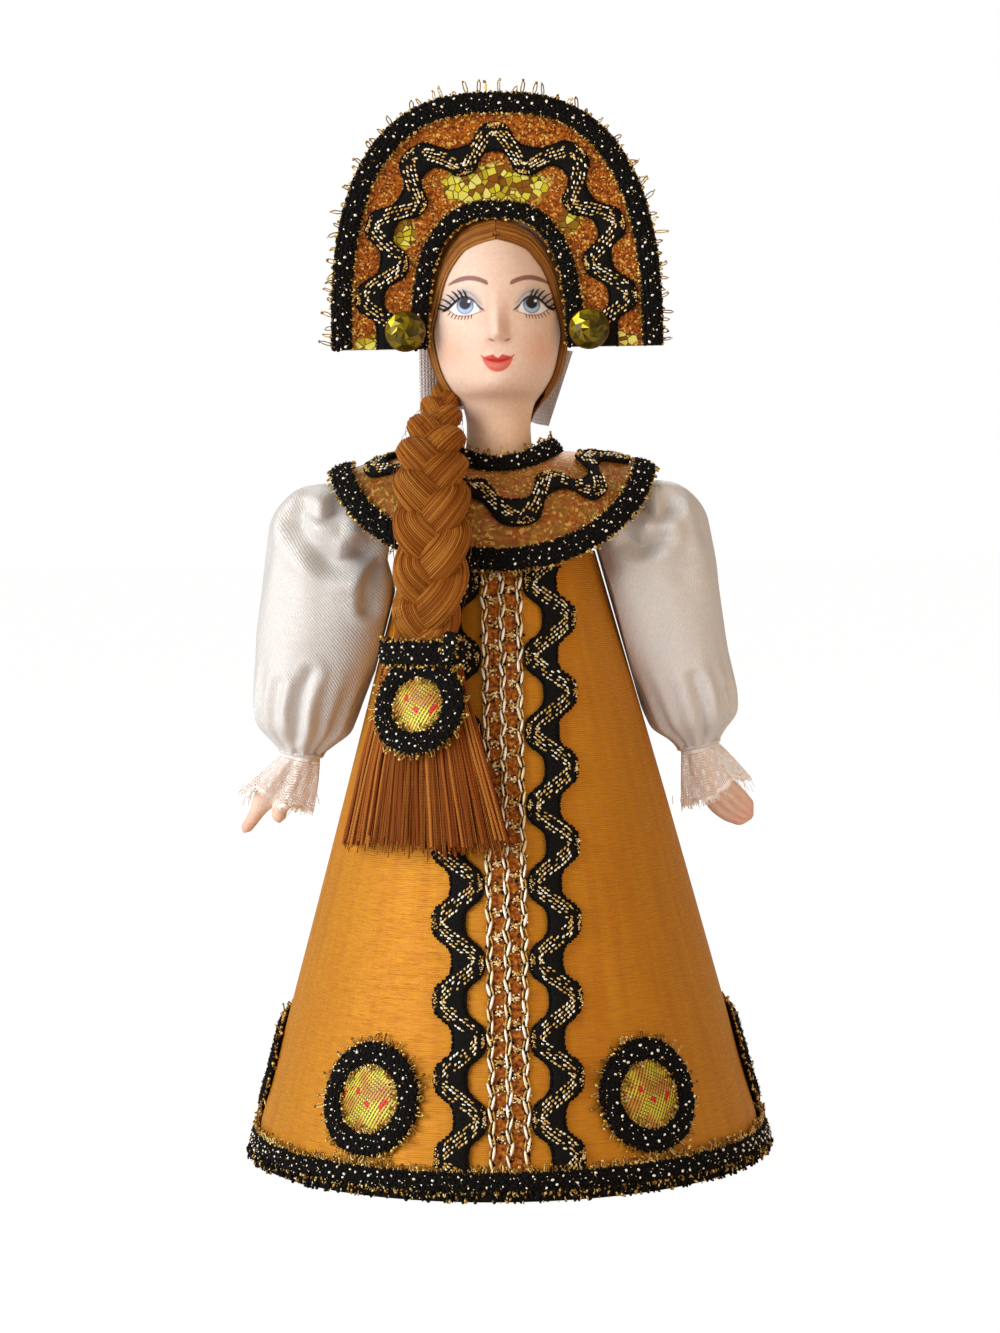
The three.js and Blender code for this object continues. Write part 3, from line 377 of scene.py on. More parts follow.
# A material with colours between stops, mixed by noise over the cloth.
def grainedMaterial(name, scale, stops, **values):
    material = newMaterial(name, **values)
    grain = noise(material, clothPlace(material), scale)
    setShader(material, {"Base Color": ramp(material, grain, stops)})
    return material


# Camera, light and floor

view = {
    "distance": 590, "height": 123.5,
    "pitch": 3.04,  # degrees down
    "roll": 0.9,  # degrees, the doll leans to the viewer's left
    "pictureWidth": 1000, "pictureHeight": 1333, "focalPixels": 3100, "sensorWidth": 36,
    "axisPixel": 510, "basePixel": 1146}  # the doll's axis and the middle of its base
studio = {"aim": (0, 0, 0.11), "ambient": 0.4, "tint": (1, 0.9, 0.78, 1)}
backdrop = {"size": 12, "shade": (0.9, 0.9, 0.9, 1), "glow": 1.045, "glowShare": 0.93}
white = (1, 1, 1, 1)


# A camera that stands level with the doll's chest, turned down and rolled, and shifted so that the
# base falls on its place in the picture.
def addCamera():
    data = bpy.data.cameras.new("camera")
    camera = bpy.data.objects.new("camera", data)
    bpy.context.scene.collection.objects.link(camera)
    roll = math.radians(view["roll"])
    aim = Matrix.Rotation(math.radians(90 - view["pitch"]), 4, "X") @ Matrix.Rotation(-roll, 4, "Z")
    camera.matrix_world = Matrix.Translation((0, -view["distance"] * mm, view["height"] * mm)) @ aim
    data.sensor_width = view["sensorWidth"]
    data.lens = view["focalPixels"] / view["pictureHeight"] * data.sensor_width
    rise = view["basePixel"] - view["pictureHeight"] / 2
    width, height = view["pictureWidth"], view["pictureHeight"]
    data.shift_x = (width / 2 - view["axisPixel"] + rise * math.sin(roll)) / height
    data.shift_y = (view["basePixel"] - rise * math.cos(roll) - height / 2) / height
    data.clip_start = 0.01
    bpy.context.scene.camera = camera


# A round lamp that shines on the middle of the doll.
def addLamp(name, place, size, power, tint=(1, 1, 1)):
    data = bpy.data.lights.new(name, "AREA")
    data.shape = "DISK"
    data.size = size
    data.energy = power
    data.color = tint
    lamp = bpy.data.objects.new(name, data)
    lamp.location = place
    aim = Vector(studio["aim"]) - Vector(place)
    lamp.rotation_euler = aim.to_track_quat("-Z", "Y").to_euler()
    bpy.context.scene.collection.objects.link(lamp)


# White where the camera looks, and a warmer and softer white as light on the doll.
def addWorld():
    world = bpy.data.worlds.new("world")
    bpy.context.scene.world = world
    world.use_nodes = True
    tree = world.node_tree
    background = tree.nodes["Background"]
    path = tree.nodes.new("ShaderNodeLightPath")
    tint = tree.nodes.new("ShaderNodeMix")
    tint.data_type = "RGBA"
    tint.inputs[6].default_value = studio["tint"]
    tint.inputs[7].default_value = white
    tree.links.new(path.outputs["Is Camera Ray"], tint.inputs[0])
    tree.links.new(tint.outputs[2], background.inputs["Color"])
    strength = tree.nodes.new("ShaderNodeMapRange")
    strength.inputs["To Min"].default_value = studio["ambient"]
    tree.links.new(path.outputs["Is Camera Ray"], strength.inputs["Value"])
    tree.links.new(strength.outputs["Result"], background.inputs["Strength"])


# Plain floor: most of what the camera sees is its own white, and the rest shows the doll's shadow.
def addFloor():
    bpy.ops.mesh.primitive_plane_add(size=backdrop["size"])
    floor = bpy.context.object
    floor.name = "floor"
    material = newMaterial("floor", Base_Color=backdrop["shade"], Roughness=1, Specular_IOR_Level=0)
    nodes = material.node_tree.nodes
    glow = addNode(material, "ShaderNodeEmission", {"Color": white, "Strength": backdrop["glow"]})
    path = addNode(material, "ShaderNodeLightPath")
    share = product(material, path.outputs["Is Camera Ray"], backdrop["glowShare"])
    plain = nodes["Principled BSDF"].outputs[0]
    blended = addNode(material, "ShaderNodeMixShader", {0: share, 1: plain, 2: glow.outputs[0]})
    setInputs(material, nodes["Material Output"], {0: blended.outputs[0]})
    floor.data.materials.append(material)


addCamera()
addWorld()
addFloor()
addLamp("key", (-0.9, -0.57, 0.42), 0.9, 11.8)
addLamp("fill", (0.8, -0.8, 0.3), 0.9, 3.5, (1, 0.56, 0.24))
addLamp("back", (0.1, 0.9, 0.8), 0.8, 4)
bpy.context.scene.view_settings.view_transform = "Standard"
print("stage")


# Shared shapes of the dress, as in the CAD model

gap = 0.3
trimHeight = 1.2
wireRadius = 0.14
dress = {"bottomRadius": 49.0, "topRadius": 18.0, "top": 114}
skirtSlope = (dress["bottomRadius"] - dress["topRadius"]) / dress["top"]
lean = math.atan(skirtSlope)


# The cone narrows evenly with height.
def skirtRadius(z):
    return dress["bottomRadius"] - skirtSlope * np.asarray(z, float)


# Point on the skirt's cone at an angle from the front, lifted off the cloth, and the way out there.
def onSkirt(angle, z, lift=0.0):
    angle, z, lift = np.broadcast_arrays(np.asarray(angle, float), z, lift)
    out = triples(math.cos(lean) * np.sin(angle), -math.cos(lean) * np.cos(angle), math.sin(lean))
    radius = skirtRadius(z)
    point = triples(radius * np.sin(angle), -radius * np.cos(angle), z)
    return point + lift[..., None] * out, out


# The same for a place seen from the front.
def onSkirtAtX(x, z, lift=0.0):
    return onSkirt(np.arcsin(x / skirtRadius(z)), z, lift)


# A line that trims are laid along: points and ways up.
def courseOf(line, ups, closed=False):
    rows = np.concatenate([np.asarray(line, float), np.asarray(ups, float)], axis=1)
    if closed:
        rows = np.vstack([rows, rows[:1]])
    lengths = runLengths(rows[:, :3])
    total = lengths[-1]

    def read(distance):
        distance = np.mod(distance, total) if closed else np.clip(distance, 0, total)
        return readAt(distance, lengths, rows)

    def at(distance, across=0.0):
        distance, across = np.broadcast_arrays(distance, across)
        here = read(distance)
        ahead = unit(read(distance + 0.2)[..., :3] - read(distance - 0.2)[..., :3])
        side = unit(np.cross(ahead, here[..., 3:]))
        return here[..., :3] + across[..., None] * side, ahead, side, np.cross(side, ahead)

    return {"total": total, "at": at, "closed": closed}


# A course over a curved cloth: place gives the point at a distance along it and an offset across it.
def courseOver(place, total, closed=False):
    def at(distance, across=0.0):
        distance, across = np.broadcast_arrays(distance, across)
        ahead = unit(place(distance + 0.1, across) - place(distance - 0.1, across))
        side = place(distance, across + 0.1) - place(distance, across - 0.1)
        up = unit(np.cross(side, ahead))
        return place(distance, across), ahead, np.cross(ahead, up), up

    return {"total": total, "at": at, "closed": closed}


# Distances along a course, as near to a pitch as fits a whole number.
def spaced(total, pitch, closed, inset=0.0):
    count = max(int(round((total - 2 * inset) / pitch)), 2)
    return np.linspace(inset, total - inset, count, endpoint=not closed)


# Beads along a course: rows of distance along it, offset across it, height over it and half-sizes.
def beadsAlong(course, distance, across, height, sizes, material, turn=0.0, shape=smallBall, tones=None):
    point, ahead, side, up = course["at"](distance, across)
    turn = np.broadcast_to(turn, distance.shape)[:, None]
    first = np.cos(turn) * ahead + np.sin(turn) * side
    axes = np.stack([first, np.cross(up, first), up], 1)
    places = point + np.broadcast_to(height, distance.shape)[:, None] * up
    return stampsPart(shape, places, axes, sizes, material, tones)


# Round grains along a course, each with a size and a tone from a range.
def grainsAlong(course, distance, across, height, sizes, material, tones=(0, 1)):
    sizes = uniform(*sizes, (len(distance), 1))
    tones = uniform(*tones, len(distance))
    return beadsAlong(course, distance, across, height, sizes, material, tones=tones)


# A band laid on a course: a rounded section of that width and thickness, swung sideways by wave.
def bandPart(course, width, bottom, thickness, material, pitch=0.8, square=4, wave=None):
    distance = spaced(course["total"], pitch, course["closed"])[:, None]
    share = np.concatenate([np.linspace(-1, 1, 9), [1, -1]])
    height = np.concatenate([1 - 0.85 * np.abs(np.linspace(-1, 1, 9)) ** square, [0, 0]])
    across = share * width / 2 + (wave(distance) if wave else 0.0)
    point, _, _, up = course["at"](distance, across)
    points = point + (bottom + thickness * height)[:, None] * up
    cloth = triples(distance, share * width / 2, 0.0)
    return surfacePart(points, material, course["closed"], True, cloth)


# Random half-sizes, each row with one number from each of three ranges.
def boxes(first, second, third, count):
    return triples(*(uniform(*each, count) for each in (first, second, third)))


# Black chenille braid: lumpy black threads, three rows of pale metal dots and wire loops at its edges.
def braidTrim(course, width, bottom, height, loopLength, loopPitch, looped=(-1, 1), dotPitch=2.9):
    total, closed = course["total"], course["closed"]
    parts = [bandPart(course, width, bottom, height * 0.8, blackThread)]
    pitch = 0.95
    rows = np.linspace(-0.4, 0.4, 5) * width
    for number, row in enumerate(rows):
        distance = spaced(total, pitch, closed, 0.3) + (number % 2) * pitch / 2
        count = len(distance)
        distance = distance + normal(0, 0.12, count)
        rise = bottom + height * (0.78 - 0.35 * (row / (width / 2)) ** 2)
        sizes = boxes((0.5, 0.72), (0.36, 0.5), (0.3, 0.42), count)
        parts.append(beadsAlong(course, distance, row + normal(0, 0.1, count), rise, sizes,
                                blackThread, uniform(-0.7, 0.7, count)))
    for number, row in enumerate((-0.26, 0.0, 0.26)):
        distance = spaced(total, dotPitch, closed, 0.6) + number * dotPitch / 3
        count = len(distance)
        distance = distance + normal(0, 0.35, count)
        size = 0.1 + 0.17 * random.random(count) ** 1.7
        parts.append(beadsAlong(course, distance, (row + normal(0, 0.06, count)) * width,
                                bottom + height * 1.04, triples(size * 1.3, size, size), metalThread,
                                uniform(-1.5, 1.5, count), roundBall, uniform(0.8, 1, count)))
    count = int(total * 1.1)
    distance = uniform(0, total, count)
    across = uniform(-0.5, 0.5, count) * width
    rise = bottom + height * (1 - 0.5 * np.abs(across / width * 2) ** 3)
    parts.append(grainsAlong(course, distance, across, rise, (0.07, 0.14), metalThread))
    for edge in looped:
        parts.extend(wireLoops(course, edge, width, bottom + height * 0.35, loopLength, loopPitch))
    return parts


# Loops of gold wire that stand out past one edge of a braid, with a small knot between each two.
def wireLoops(course, edge, width, height, lengths, pitch):
    total, closed = course["total"], course["closed"]
    distance = spaced(total, pitch, closed, 0.5)
    distance = distance + normal(0, pitch * 0.14, len(distance))
    point, ahead, side, up = course["at"](distance)
    count = len(distance)
    out = side * edge
    sway = normal(0, 0.35, (count, 1))
    lift = normal(0.12, 0.3, (count, 1))
    direction = unit(out + sway * ahead + lift * up)
    flat = unit(np.cross(direction, up) + normal(0, 0.5, (count, 1)) * up)
    length = uniform(*lengths, (count, 1, 1))
    half = uniform(0.32, 0.55, (count, 1, 1))
    turn = around(8)
    along = (1 - np.cos(turn))[None, :, None] / 2
    spread = (np.sin(turn) * (0.55 + 0.45 * (1 - np.cos(turn)) / 2))[None, :, None]
    start = (point + side * edge * (width / 2 - 0.35) + height * up)[:, None]
    paths = start + direction[:, None] * along * (length + 0.35) + flat[:, None] * spread * half
    loops = tubesPart(paths, wireRadius, goldWire, 3, True)
    tipPlaces = paths[:, 4] + normal(0, 0.12, (count, 3))
    lumps = stampsPart(smallBall, tipPlaces, np.tile(np.eye(3), (count, 1, 1)),
                       uniform(0.15, 0.36, (count, 1)), goldWire)
    knots = spaced(total, pitch / 2.2, closed, 0.4)
    knots = knots + normal(0, 0.2, len(knots))
    size = uniform(0.18, 0.4, len(knots))
    across = edge * (width / 2 + uniform(-0.2, 0.45, len(knots)))
    beads = beadsAlong(course, knots, across, height, triples(size, size * 1.3, size), goldWire,
                       uniform(-1, 1, len(knots)))
    dark = spaced(total, 0.8, closed, 0.4)
    count = len(dark)
    dark = dark + normal(0, 0.2, count)
    sizes = boxes((0.3, 0.5), (0.25, 0.5), (0.25, 0.4), count)
    fluff = beadsAlong(course, dark, edge * width / 2, height, sizes, blackThread)
    return [loops, lumps, beads, fluff]


# Wavy black braid: both its edges swing together with a round wave. Four rows of short pale stitches
# run from each tip of the waves to the next, and gold grains crowd at the tips; a tip is its distance
# along the course and its side.
def ricRac(course, width, swing, bottom, thickness, tips):
    total, closed = course["total"], course["closed"]
    tipPlaces, tipSides = np.array(sorted(tips), float).T

    def zigzag(distance):
        return np.interp(distance, tipPlaces, tipSides, period=total if closed else None)

    def wave(distance):
        return swing * np.tanh(1.6 * np.sin(math.pi / 2 * zigzag(distance))) / math.tanh(1.6)

    top = bottom + thickness
    parts = [bandPart(course, width, bottom, thickness, blackThread, 0.45, 6, wave)]
    reach = width / 2 + swing - 1.2

    def row(distance):
        return reach * np.sin(1.35 * zigzag(distance))

    for shift in (-1.3, -0.45, 0.4, 1.25):
        distance = spaced(total, 0.5, closed, 0.4)
        distance = distance[random.random(len(distance)) < 0.78]
        distance = distance + normal(0, 0.05, len(distance))
        across = row(distance + shift) + normal(0, 0.05, len(distance))
        fromMiddle = np.abs(across - wave(distance))
        inside = (np.abs(zigzag(distance + shift)) < 0.76) & (fromMiddle < width / 2 - 0.35)
        distance, across = distance[inside], across[inside]
        slope = row(distance + shift + 0.2) - row(distance + shift - 0.2)
        count = len(distance)
        sizes = triples(uniform(0.24, 0.42, count), uniform(0.15, 0.23, count), 0.16)
        turn = np.arctan2(slope, 0.4) - 0.3 + normal(0, 0.15, count)
        parts.append(beadsAlong(course, distance, across, top + 0.05, sizes, metalThread, turn, roundBall,
                                uniform(0.2, 0.95, count)))
    places = spaced(total, 0.5, closed, 0.2)
    for edge in (-1, 1):
        distance = places + normal(0, 0.12, len(places))
        across = wave(distance) + edge * (width / 2 - 0.12)
        parts.append(grainsAlong(course, distance, across, bottom + thickness * 0.45, (0.22, 0.36),
                                 blackThread))
    grains = 26
    for distance, edge in tips:
        if not 0 <= distance <= total:
            continue
        spots = distance + normal(0, 0.8, grains)
        across = wave(spots) + edge * (width / 2 - 0.2 - np.abs(normal(0, 0.4, grains)))
        parts.append(grainsAlong(course, spots, across, top + 0.03, (0.09, 0.22), metalThread, (0, 0.75)))
    return parts


# Materials that several pieces share

# Spun metal thread: gold where tone is low and cream where it is high.
metalThread = tonedMaterial("metal_thread", [
    (0.0, 160, 112, 34), (0.4, 206, 168, 84), (0.7, 236, 222, 176), (0.9, 252, 250, 242)],
    Metallic=0.3, Roughness=0.3)
goldWire = tonedMaterial("gold_wire", [
    (0.0, 112, 76, 20), (0.5, 176, 132, 48), (1.0, 236, 212, 140)], Metallic=0.6, Roughness=0.28)

blackThread = newMaterial("black_thread", Roughness=0.8, Specular_IOR_Level=0.15)
blackPlace = clothPlace(blackThread)
setShader(blackThread, {
    "Base Color": ramp(blackThread, noise(blackThread, blackPlace, 2.2), [
        (0.35, 3, 3, 3), (0.7, 20, 18, 17)]),
    "Normal": relief(blackThread, noise(blackThread, blackPlace, 5.0, 3), 0.0003, 0.8)})


# Skirt

# Satin with fine cross ribs; its threads run round the doll, so its gloss spreads up and down.
satin = newMaterial("orange_satin", Metallic=0.45, Roughness=0.56, Anisotropic=0.5)
satinRibs = bands(satin, clothPlace(satin), 0.8, "Y", 0.8)
satinWarp = bands(satin, clothPlace(satin), 0.9, "X", 0.8)
satinShade = noise(satin, clothPlace(satin, (0.5, 0.04, 1)), 1.0, 3)
satinThreads = noise(satin, clothPlace(satin, (0.35, 3.2, 1)), 1.0, 2)
satinStripes = maths(satin, "ADD", satinThreads, product(satin, satinRibs, 0.3))
satinWeave = maths(satin, "ADD", satinRibs, product(satin, satinWarp, 0.3))
satinGold = ramp(satin, satinShade, [(0.3, 200, 136, 10), (0.7, 212, 152, 16)])
setShader(satin, {
    "Base Color": mixed(satin, product(satin, satinStripes, 0.5), satinGold, colour(150, 60, 2)),
    "Normal": relief(satin, satinWeave, 0.00012, 0.25, relief(satin, satinThreads, 0.0002, 0.5)),
    "Tangent": addNode(satin, "ShaderNodeTangent", direction_type="RADIAL", axis="Z").outputs[0]})


# Cone with a faint sway of the cloth over the card.
def addSkirt():
    z = np.linspace(0.4, dress["top"], 130)[:, None]
    angle = around(320)[None, :]
    sway = 0.12 * np.sin(3 * angle + 0.05 * z) + 0.06 * np.sin(11 * angle + 0.4) * (1 - z / dress["top"])
    points, _ = onSkirt(angle, z, sway)
    slant = (dress["top"] - z) / math.cos(lean)
    cloth = triples(angle * skirtRadius(dress["top"] / 2), slant, 0.0)
    skirt = addPiece("skirt_satin", [surfacePart(points, satin, False, True, cloth)], ["skirt"])


hem = {
    "height": 4.4, "lift": 0.35, "braidMiddle": 3.4, "braidWidth": 3.2,
    "fringeMiddle": 1.0, "fringeWidth": 1.9, "lowestThread": 0.02}  # over the table


# Braid above a thick fringe of wire that spreads down to the table, over a black band and black grains that
# are painted shade.
def addHem():
    angle = around(240)
    course = courseOf(*onSkirt(angle, hem["braidMiddle"], hem["lift"]), True)
    parts = braidTrim(course, hem["braidWidth"], 0, trimHeight, (0.5, 1.1), 2.0)
    parts.extend(wireLoops(course, -1, hem["braidWidth"], 0.5, (0.9, 1.7), 1.15))
    fringe = courseOf(*onSkirt(angle, hem["fringeMiddle"], hem["lift"]), True)
    # Painted shade: a black band under the fringe's wires.
    parts.append(bandPart(fringe, hem["fringeWidth"], 0, 0.5, blackThread, 2.0))
    # Gold and pale wire bits, with black grains among them that are painted shade.
    for material, count, low, high in ((goldWire, 560, 0.14, 0.38), (metalThread, 320, 0.08, 0.22),
                                       (blackThread, 640, 0.3, 0.58)):
        distance = uniform(0, fringe["total"], count)
        sizes = uniform(low, high, (count, 1)) * np.array([0.7, 1.5, 0.8])
        across = uniform(-0.9, 1.1, count)
        rise = uniform(0.4, 1.0, count)
        parts.append(beadsAlong(fringe, distance, across, rise, sizes, material,
                                normal(0, 0.5, count), tones=random.random(count)))
    for part in parts:
        part["points"] = np.maximum(part["points"], [-np.inf, -np.inf, hem["lowestThread"]])
    addPiece("hem_braid", parts, ["hem_trim"])


addSkirt()
addHem()
print("skirt")


# Front trims

frontBraid = {
    "top": 111.2, "x": 8.6, "period": 14.0, "start": 2.3, "width": 6.0, "swing": 1.7, "thickness": 0.8}
frontBottom = hem["height"] + 2 * gap


# Wavy braid straight up the front, in even half waves from its first tip.
def addFrontRicRac(name, node, side):
    def place(distance, across):
        return onSkirtAtX(side * frontBraid["x"] + across, frontBottom + distance * math.cos(lean))[0]

    course = courseOver(place, (frontBraid["top"] - frontBottom) / math.cos(lean))
    tips = [(frontBraid["start"] + half * frontBraid["period"] / 2, side if half % 2 == 0 else -side)
            for half in range(-1, 17)]
    parts = ricRac(course, frontBraid["width"], frontBraid["swing"], gap, frontBraid["thickness"], tips)
    addPiece(name, parts, [node])


lace = {"x": 3.1, "pitch": 4.45, "groundLift": 0.24}

# Ground under the front lace: orange like the satin, and dark brown where it is painted shade in the windows.
laceGroundAndShade = grainedMaterial("lace_ground_and_painted_shade", 1.3, [
    (0.3, 52, 20, 6), (0.5, 150, 78, 16), (0.75, 204, 134, 36)], Roughness=0.7, Specular_IOR_Level=0.2)


# Chains of long pale links, first on one side and then on the other, over a brown and orange ground whose
# dark browns are painted shade, with knotted gold rungs between them that leave windows of the ground open.
def addFrontLace():
    z = np.arange(frontBottom, frontBraid["top"], 0.5)
    across = np.linspace(-lace["x"] - 0.5, lace["x"] + 0.5, 9)
    ground, _ = onSkirtAtX(across[None, :], z[:, None], lace["groundLift"])
    parts = [surfacePart(ground, laceGroundAndShade)]
    for number, x in enumerate((-lace["x"], 0, lace["x"])):
        course = courseOf(*onSkirtAtX(x, z))
        for row, start in ((-0.4, 1.2), (0.4, 1.2 + lace["pitch"] / 2)):
            distance = np.arange(start + number * 0.7, course["total"] - 0.8, lace["pitch"])
            count = len(distance)
            sizes = triples(uniform(1.25, 1.5, count), uniform(0.22, 0.3, count), 0.28)
            turn = normal(0.2, 0.06, count) * np.sign(row)
            across = 0.75 * row + normal(0, 0.05, count)
            parts.append(beadsAlong(course, distance, across, 0.66, sizes, metalThread, turn, roundBall,
                                    uniform(0.72, 1, count)))
            parts.append(beadsAlong(course, distance + lace["pitch"] / 2, row, 0.5, sizes * [0.7, 0.7, 1],
                                    metalThread, -turn, roundBall, uniform(0.1, 0.5, count)))
        count = 300
        crumbs = uniform(0, course["total"], count)
        across, rise = normal(0, 0.36, count), uniform(0.45, 0.8, count)
        parts.append(grainsAlong(course, crumbs, across, rise, (0.07, 0.2), metalThread, (0, 0.9)))
        # Black grains beside each chain: painted shade.
        count = 240
        chainShadeGrains = uniform(0, course["total"], count)
        across = normal(0, 0.3, count)
        parts.append(grainsAlong(course, chainShadeGrains, across, 0.35, (0.2, 0.36), blackThread))
    rungs = np.arange(frontBottom + 1.2, frontBraid["top"] - 1, lace["pitch"])
    for x in (-lace["x"] / 2, lace["x"] / 2):
        course = courseOf(*onSkirtAtX(x, z))
        shift = lace["pitch"] / 2 if x > 0 else 0
        for tilt in (0.35, -0.35):
            distance = rungs + normal(0, 0.15, len(rungs)) + shift
            count = len(distance)
            sizes = triples(uniform(0.7, 1.0, count), uniform(0.13, 0.2, count), 0.2)
            parts.append(beadsAlong(course, distance, normal(0, 0.12, count), 0.62, sizes, metalThread,
                                    math.pi / 2 + tilt, roundBall, uniform(0.1, 0.7, count)))
        knots = np.repeat(rungs, 16) + normal(0, 0.6, 16 * len(rungs)) + shift
        across = normal(0, 0.5, len(knots))
        parts.append(grainsAlong(course, knots, across, 0.62, (0.12, 0.3), metalThread))
        # Black grains round each rung: painted shadow.
        shadows = np.repeat(rungs, 5) + normal(0, 0.45, 5 * len(rungs)) + shift
        across = normal(0, 0.55, len(shadows))
        parts.append(grainsAlong(course, shadows, across, 0.36, (0.2, 0.4), blackThread))
    addPiece("front_lace", parts, ["front_lace_trim"])


addFrontRicRac("wavy_braid_right", "ric_rac_right", -1)
addFrontRicRac("wavy_braid_left", "ric_rac_left", 1)
addFrontLace()


# Medallions

medallion = {"radius": 10.2, "height": 16.5, "ringWidth": 3.9, "ringHeight": 1.5}
medallionAngles = [side * (34 + 62 * step) for step in range(3) for side in (-1, 1)]

# Printed metal cloth: yellow-green on old gold with a slanted hatch, small black dots and red spots.
patchCloth = newMaterial("patch_cloth", Metallic=0.2, Roughness=0.45)
patchPlace = clothPlace(patchCloth)
patchTurned = addNode(patchCloth, "ShaderNodeVectorRotate", {"Vector": patchPlace, "Angle": 0.5},
                      rotation_type="Z_AXIS").outputs[0]
patchZones = noise(patchCloth, patchPlace, 0.22, 1)
patchBase = ramp(patchCloth, patchZones, [
    (0.4, 190, 136, 40), (0.48, 204, 172, 48), (0.55, 212, 208, 56)])
patchHatch = ramp(patchCloth, bands(patchCloth, patchTurned, 0.55, "X"), [
    (0.2, 176, 150, 80), (0.6, 255, 255, 255)])
redSpots = fade(patchCloth, noise(patchCloth, patchPlace, 0.42, 1), 0.6, 0.64)
patchShade = mixed(patchCloth, 1.0, patchBase, patchHatch, "MULTIPLY")
patchTinted = mixed(patchCloth, redSpots, patchShade, colour(200, 34, 10))
patchDots = product(patchCloth, *(bands(patchCloth, patchTurned, 0.5, way) for way in "XY"))
patchBare = noise(patchCloth, patchPlace, 0.35, 1)
dotShare = product(patchCloth, fade(patchCloth, patchDots, 0.5, 0.6), fade(patchCloth, patchBare, 0.36, 0.46))
setShader(patchCloth, {"Base Color": mixed(patchCloth, dotShare, patchTinted, colour(24, 18, 6)),
                       "Normal": relief(patchCloth, patchHatch, 0.00015, 0.5)})


# A ring of braid round a domed patch at an angle and a height, lifted off the skirt's cone; its width
# is wrapped round bend, a radius.
def addMedallion(name, nodes, radius, angle, z, lift, bend, loopLength, body=root):
    def place(x, y, height):
        return onSkirt(angle + x / bend, z + y * math.cos(lean), lift + height)[0]

    turn = around(60)
    middle = radius - medallion["ringWidth"] / 2
    ring = middle * np.cos(turn), middle * np.sin(turn)
    line = place(*ring, 0.0)
    course = courseOf(line, unit(place(*ring, 1.0) - line), True)
    parts = braidTrim(course, medallion["ringWidth"], 0, medallion["ringHeight"], loopLength, 1.2)
    share = np.linspace(0.02, 1, 14)[:, None]
    reach = (radius - medallion["ringWidth"] + 0.5) * share
    x, y = reach * np.cos(turn), reach * np.sin(turn)
    crown = 0.2 + 0.9 * (1 - share ** 2) + 0 * turn
    parts.append(surfacePart(place(x, y, crown), patchCloth, False, True, triples(x, y, 0.0)))
    addPiece(name, parts, nodes, body)


for number, degrees in enumerate(medallionAngles, 1):
    addMedallion(f"medallion_{number}", [f"medallion_ring_{number}", f"medallion_patch_{number}"],
                 medallion["radius"], math.radians(degrees), medallion["height"], gap,
                 skirtRadius(medallion["height"]), (0.8, 1.9))
print("trims")


# Head and shoulder plate: half-width, front depth and back depth at each height, as in the CAD model

bust = {"bottom": 114.3, "top": 176.7, "eyeZ": 160.05, "noseTipZ": 154.8, "mouthZ": 149.6}
bustShape = smoothTable([
    (bust["bottom"], 16.9, 16.9, 16.9), (117, 16.0, 16.0, 16.0), (121, 14.0, 14.0, 14.0),
    (125, 11.6, 11.6, 11.6), (128, 9.2, 9.0, 9.0), (130.5, 7.6, 7.4, 7.4), (133, 6.5, 6.4, 6.4),
    (136, 6.1, 6.1, 6.4),
    (140, 6.3, 6.5, 6.8), (142.5, 7.2, 8.4, 7.2), (144.2, 8.6, 10.7, 7.6), (146, 9.9, 11.9, 8.2),
    (149, 11.2, 12.6, 9.6), (152, 11.9, 12.8, 11.2), (155.5, 12.2, 12.7, 12.7), (159.5, 12.0, 12.5, 13.8),
    (163.5, 11.5, 12.3, 14.2), (167, 10.6, 11.6, 13.8), (170.5, 9.1, 10.1, 12.6), (173.3, 7.1, 8.1, 10.6),
    (175.2, 4.8, 5.7, 7.8), (176.2, 2.4, 2.8, 4.4), (bust["top"], 0.0, 0.0, 0.0)])


# Nose, eye hollows, lips and chin as rises over the plain head.
def faceRelief(x, z):
    noseRise = np.where(z > bust["noseTipZ"], bump(z, bust["noseTipZ"], 3.6), bump(z, bust["noseTipZ"], 1.3))
    nose = 1.9 * noseRise * bump(x, 0, 1.25 + 0.35 * bump(z, bust["noseTipZ"] - 0.4, 1.6))
    sockets = -0.5 * bump(np.abs(x), 4.7, 3.0) * bump(z, bust["eyeZ"] + 0.6, 2.2)
    eyeballs = 0.25 * bump(np.abs(x), 6.2, 2.2) * bump(z, bust["eyeZ"], 1.6)
    upperLip = 0.38 * bump(np.abs(x), 0.8, 1.5) * bump(z, bust["mouthZ"] + 0.6, 0.6)
    lowerLip = 0.5 * bump(x, 0, 1.9) * bump(z, bust["mouthZ"] - 0.9, 0.75)
    parting = -0.22 * bump(x, 0, 2.6) * bump(z, bust["mouthZ"], 0.25)
    chin = 0.6 * bump(x, 0, 3.4) * bump(z, 145.6, 1.5)
    return nose + sockets + eyeballs + upperLip + lowerLip + parting + chin


# Point of the head at a turn from the front: level ovals, with the face's relief on the front half.
def bustPoint(turn, z, lift=0.0):
    turn, z = np.broadcast_arrays(np.asarray(turn, float), np.asarray(z, float))
    halfWidth, front, back = np.moveaxis(bustShape(z), -1, 0)
    x = halfWidth * np.sin(turn)
    facing = np.cos(turn)
    depth = np.where(facing > 0, front + faceRelief(x, z) * facing, back)
    point = triples(x, -depth * facing, z)
    return point + np.asarray(lift)[..., None] * unit(triples(np.sin(turn), -facing, 0.0))


# Point on the face over a place seen from the front.
def onFace(x, z, lift=0.0):
    halfWidth = bustShape(z)[..., 0]
    return bustPoint(np.arcsin(np.clip(x / halfWidth, -1, 1)), z, lift)


skinTone = (235, 209, 192)
rightEye = {"middle": -5.9, "inner": 2.9, "outer": 8.9, "brow": -0.2}
leftEye = {"middle": 6.5, "inner": 3.6, "outer": 9.5, "brow": 0.8}
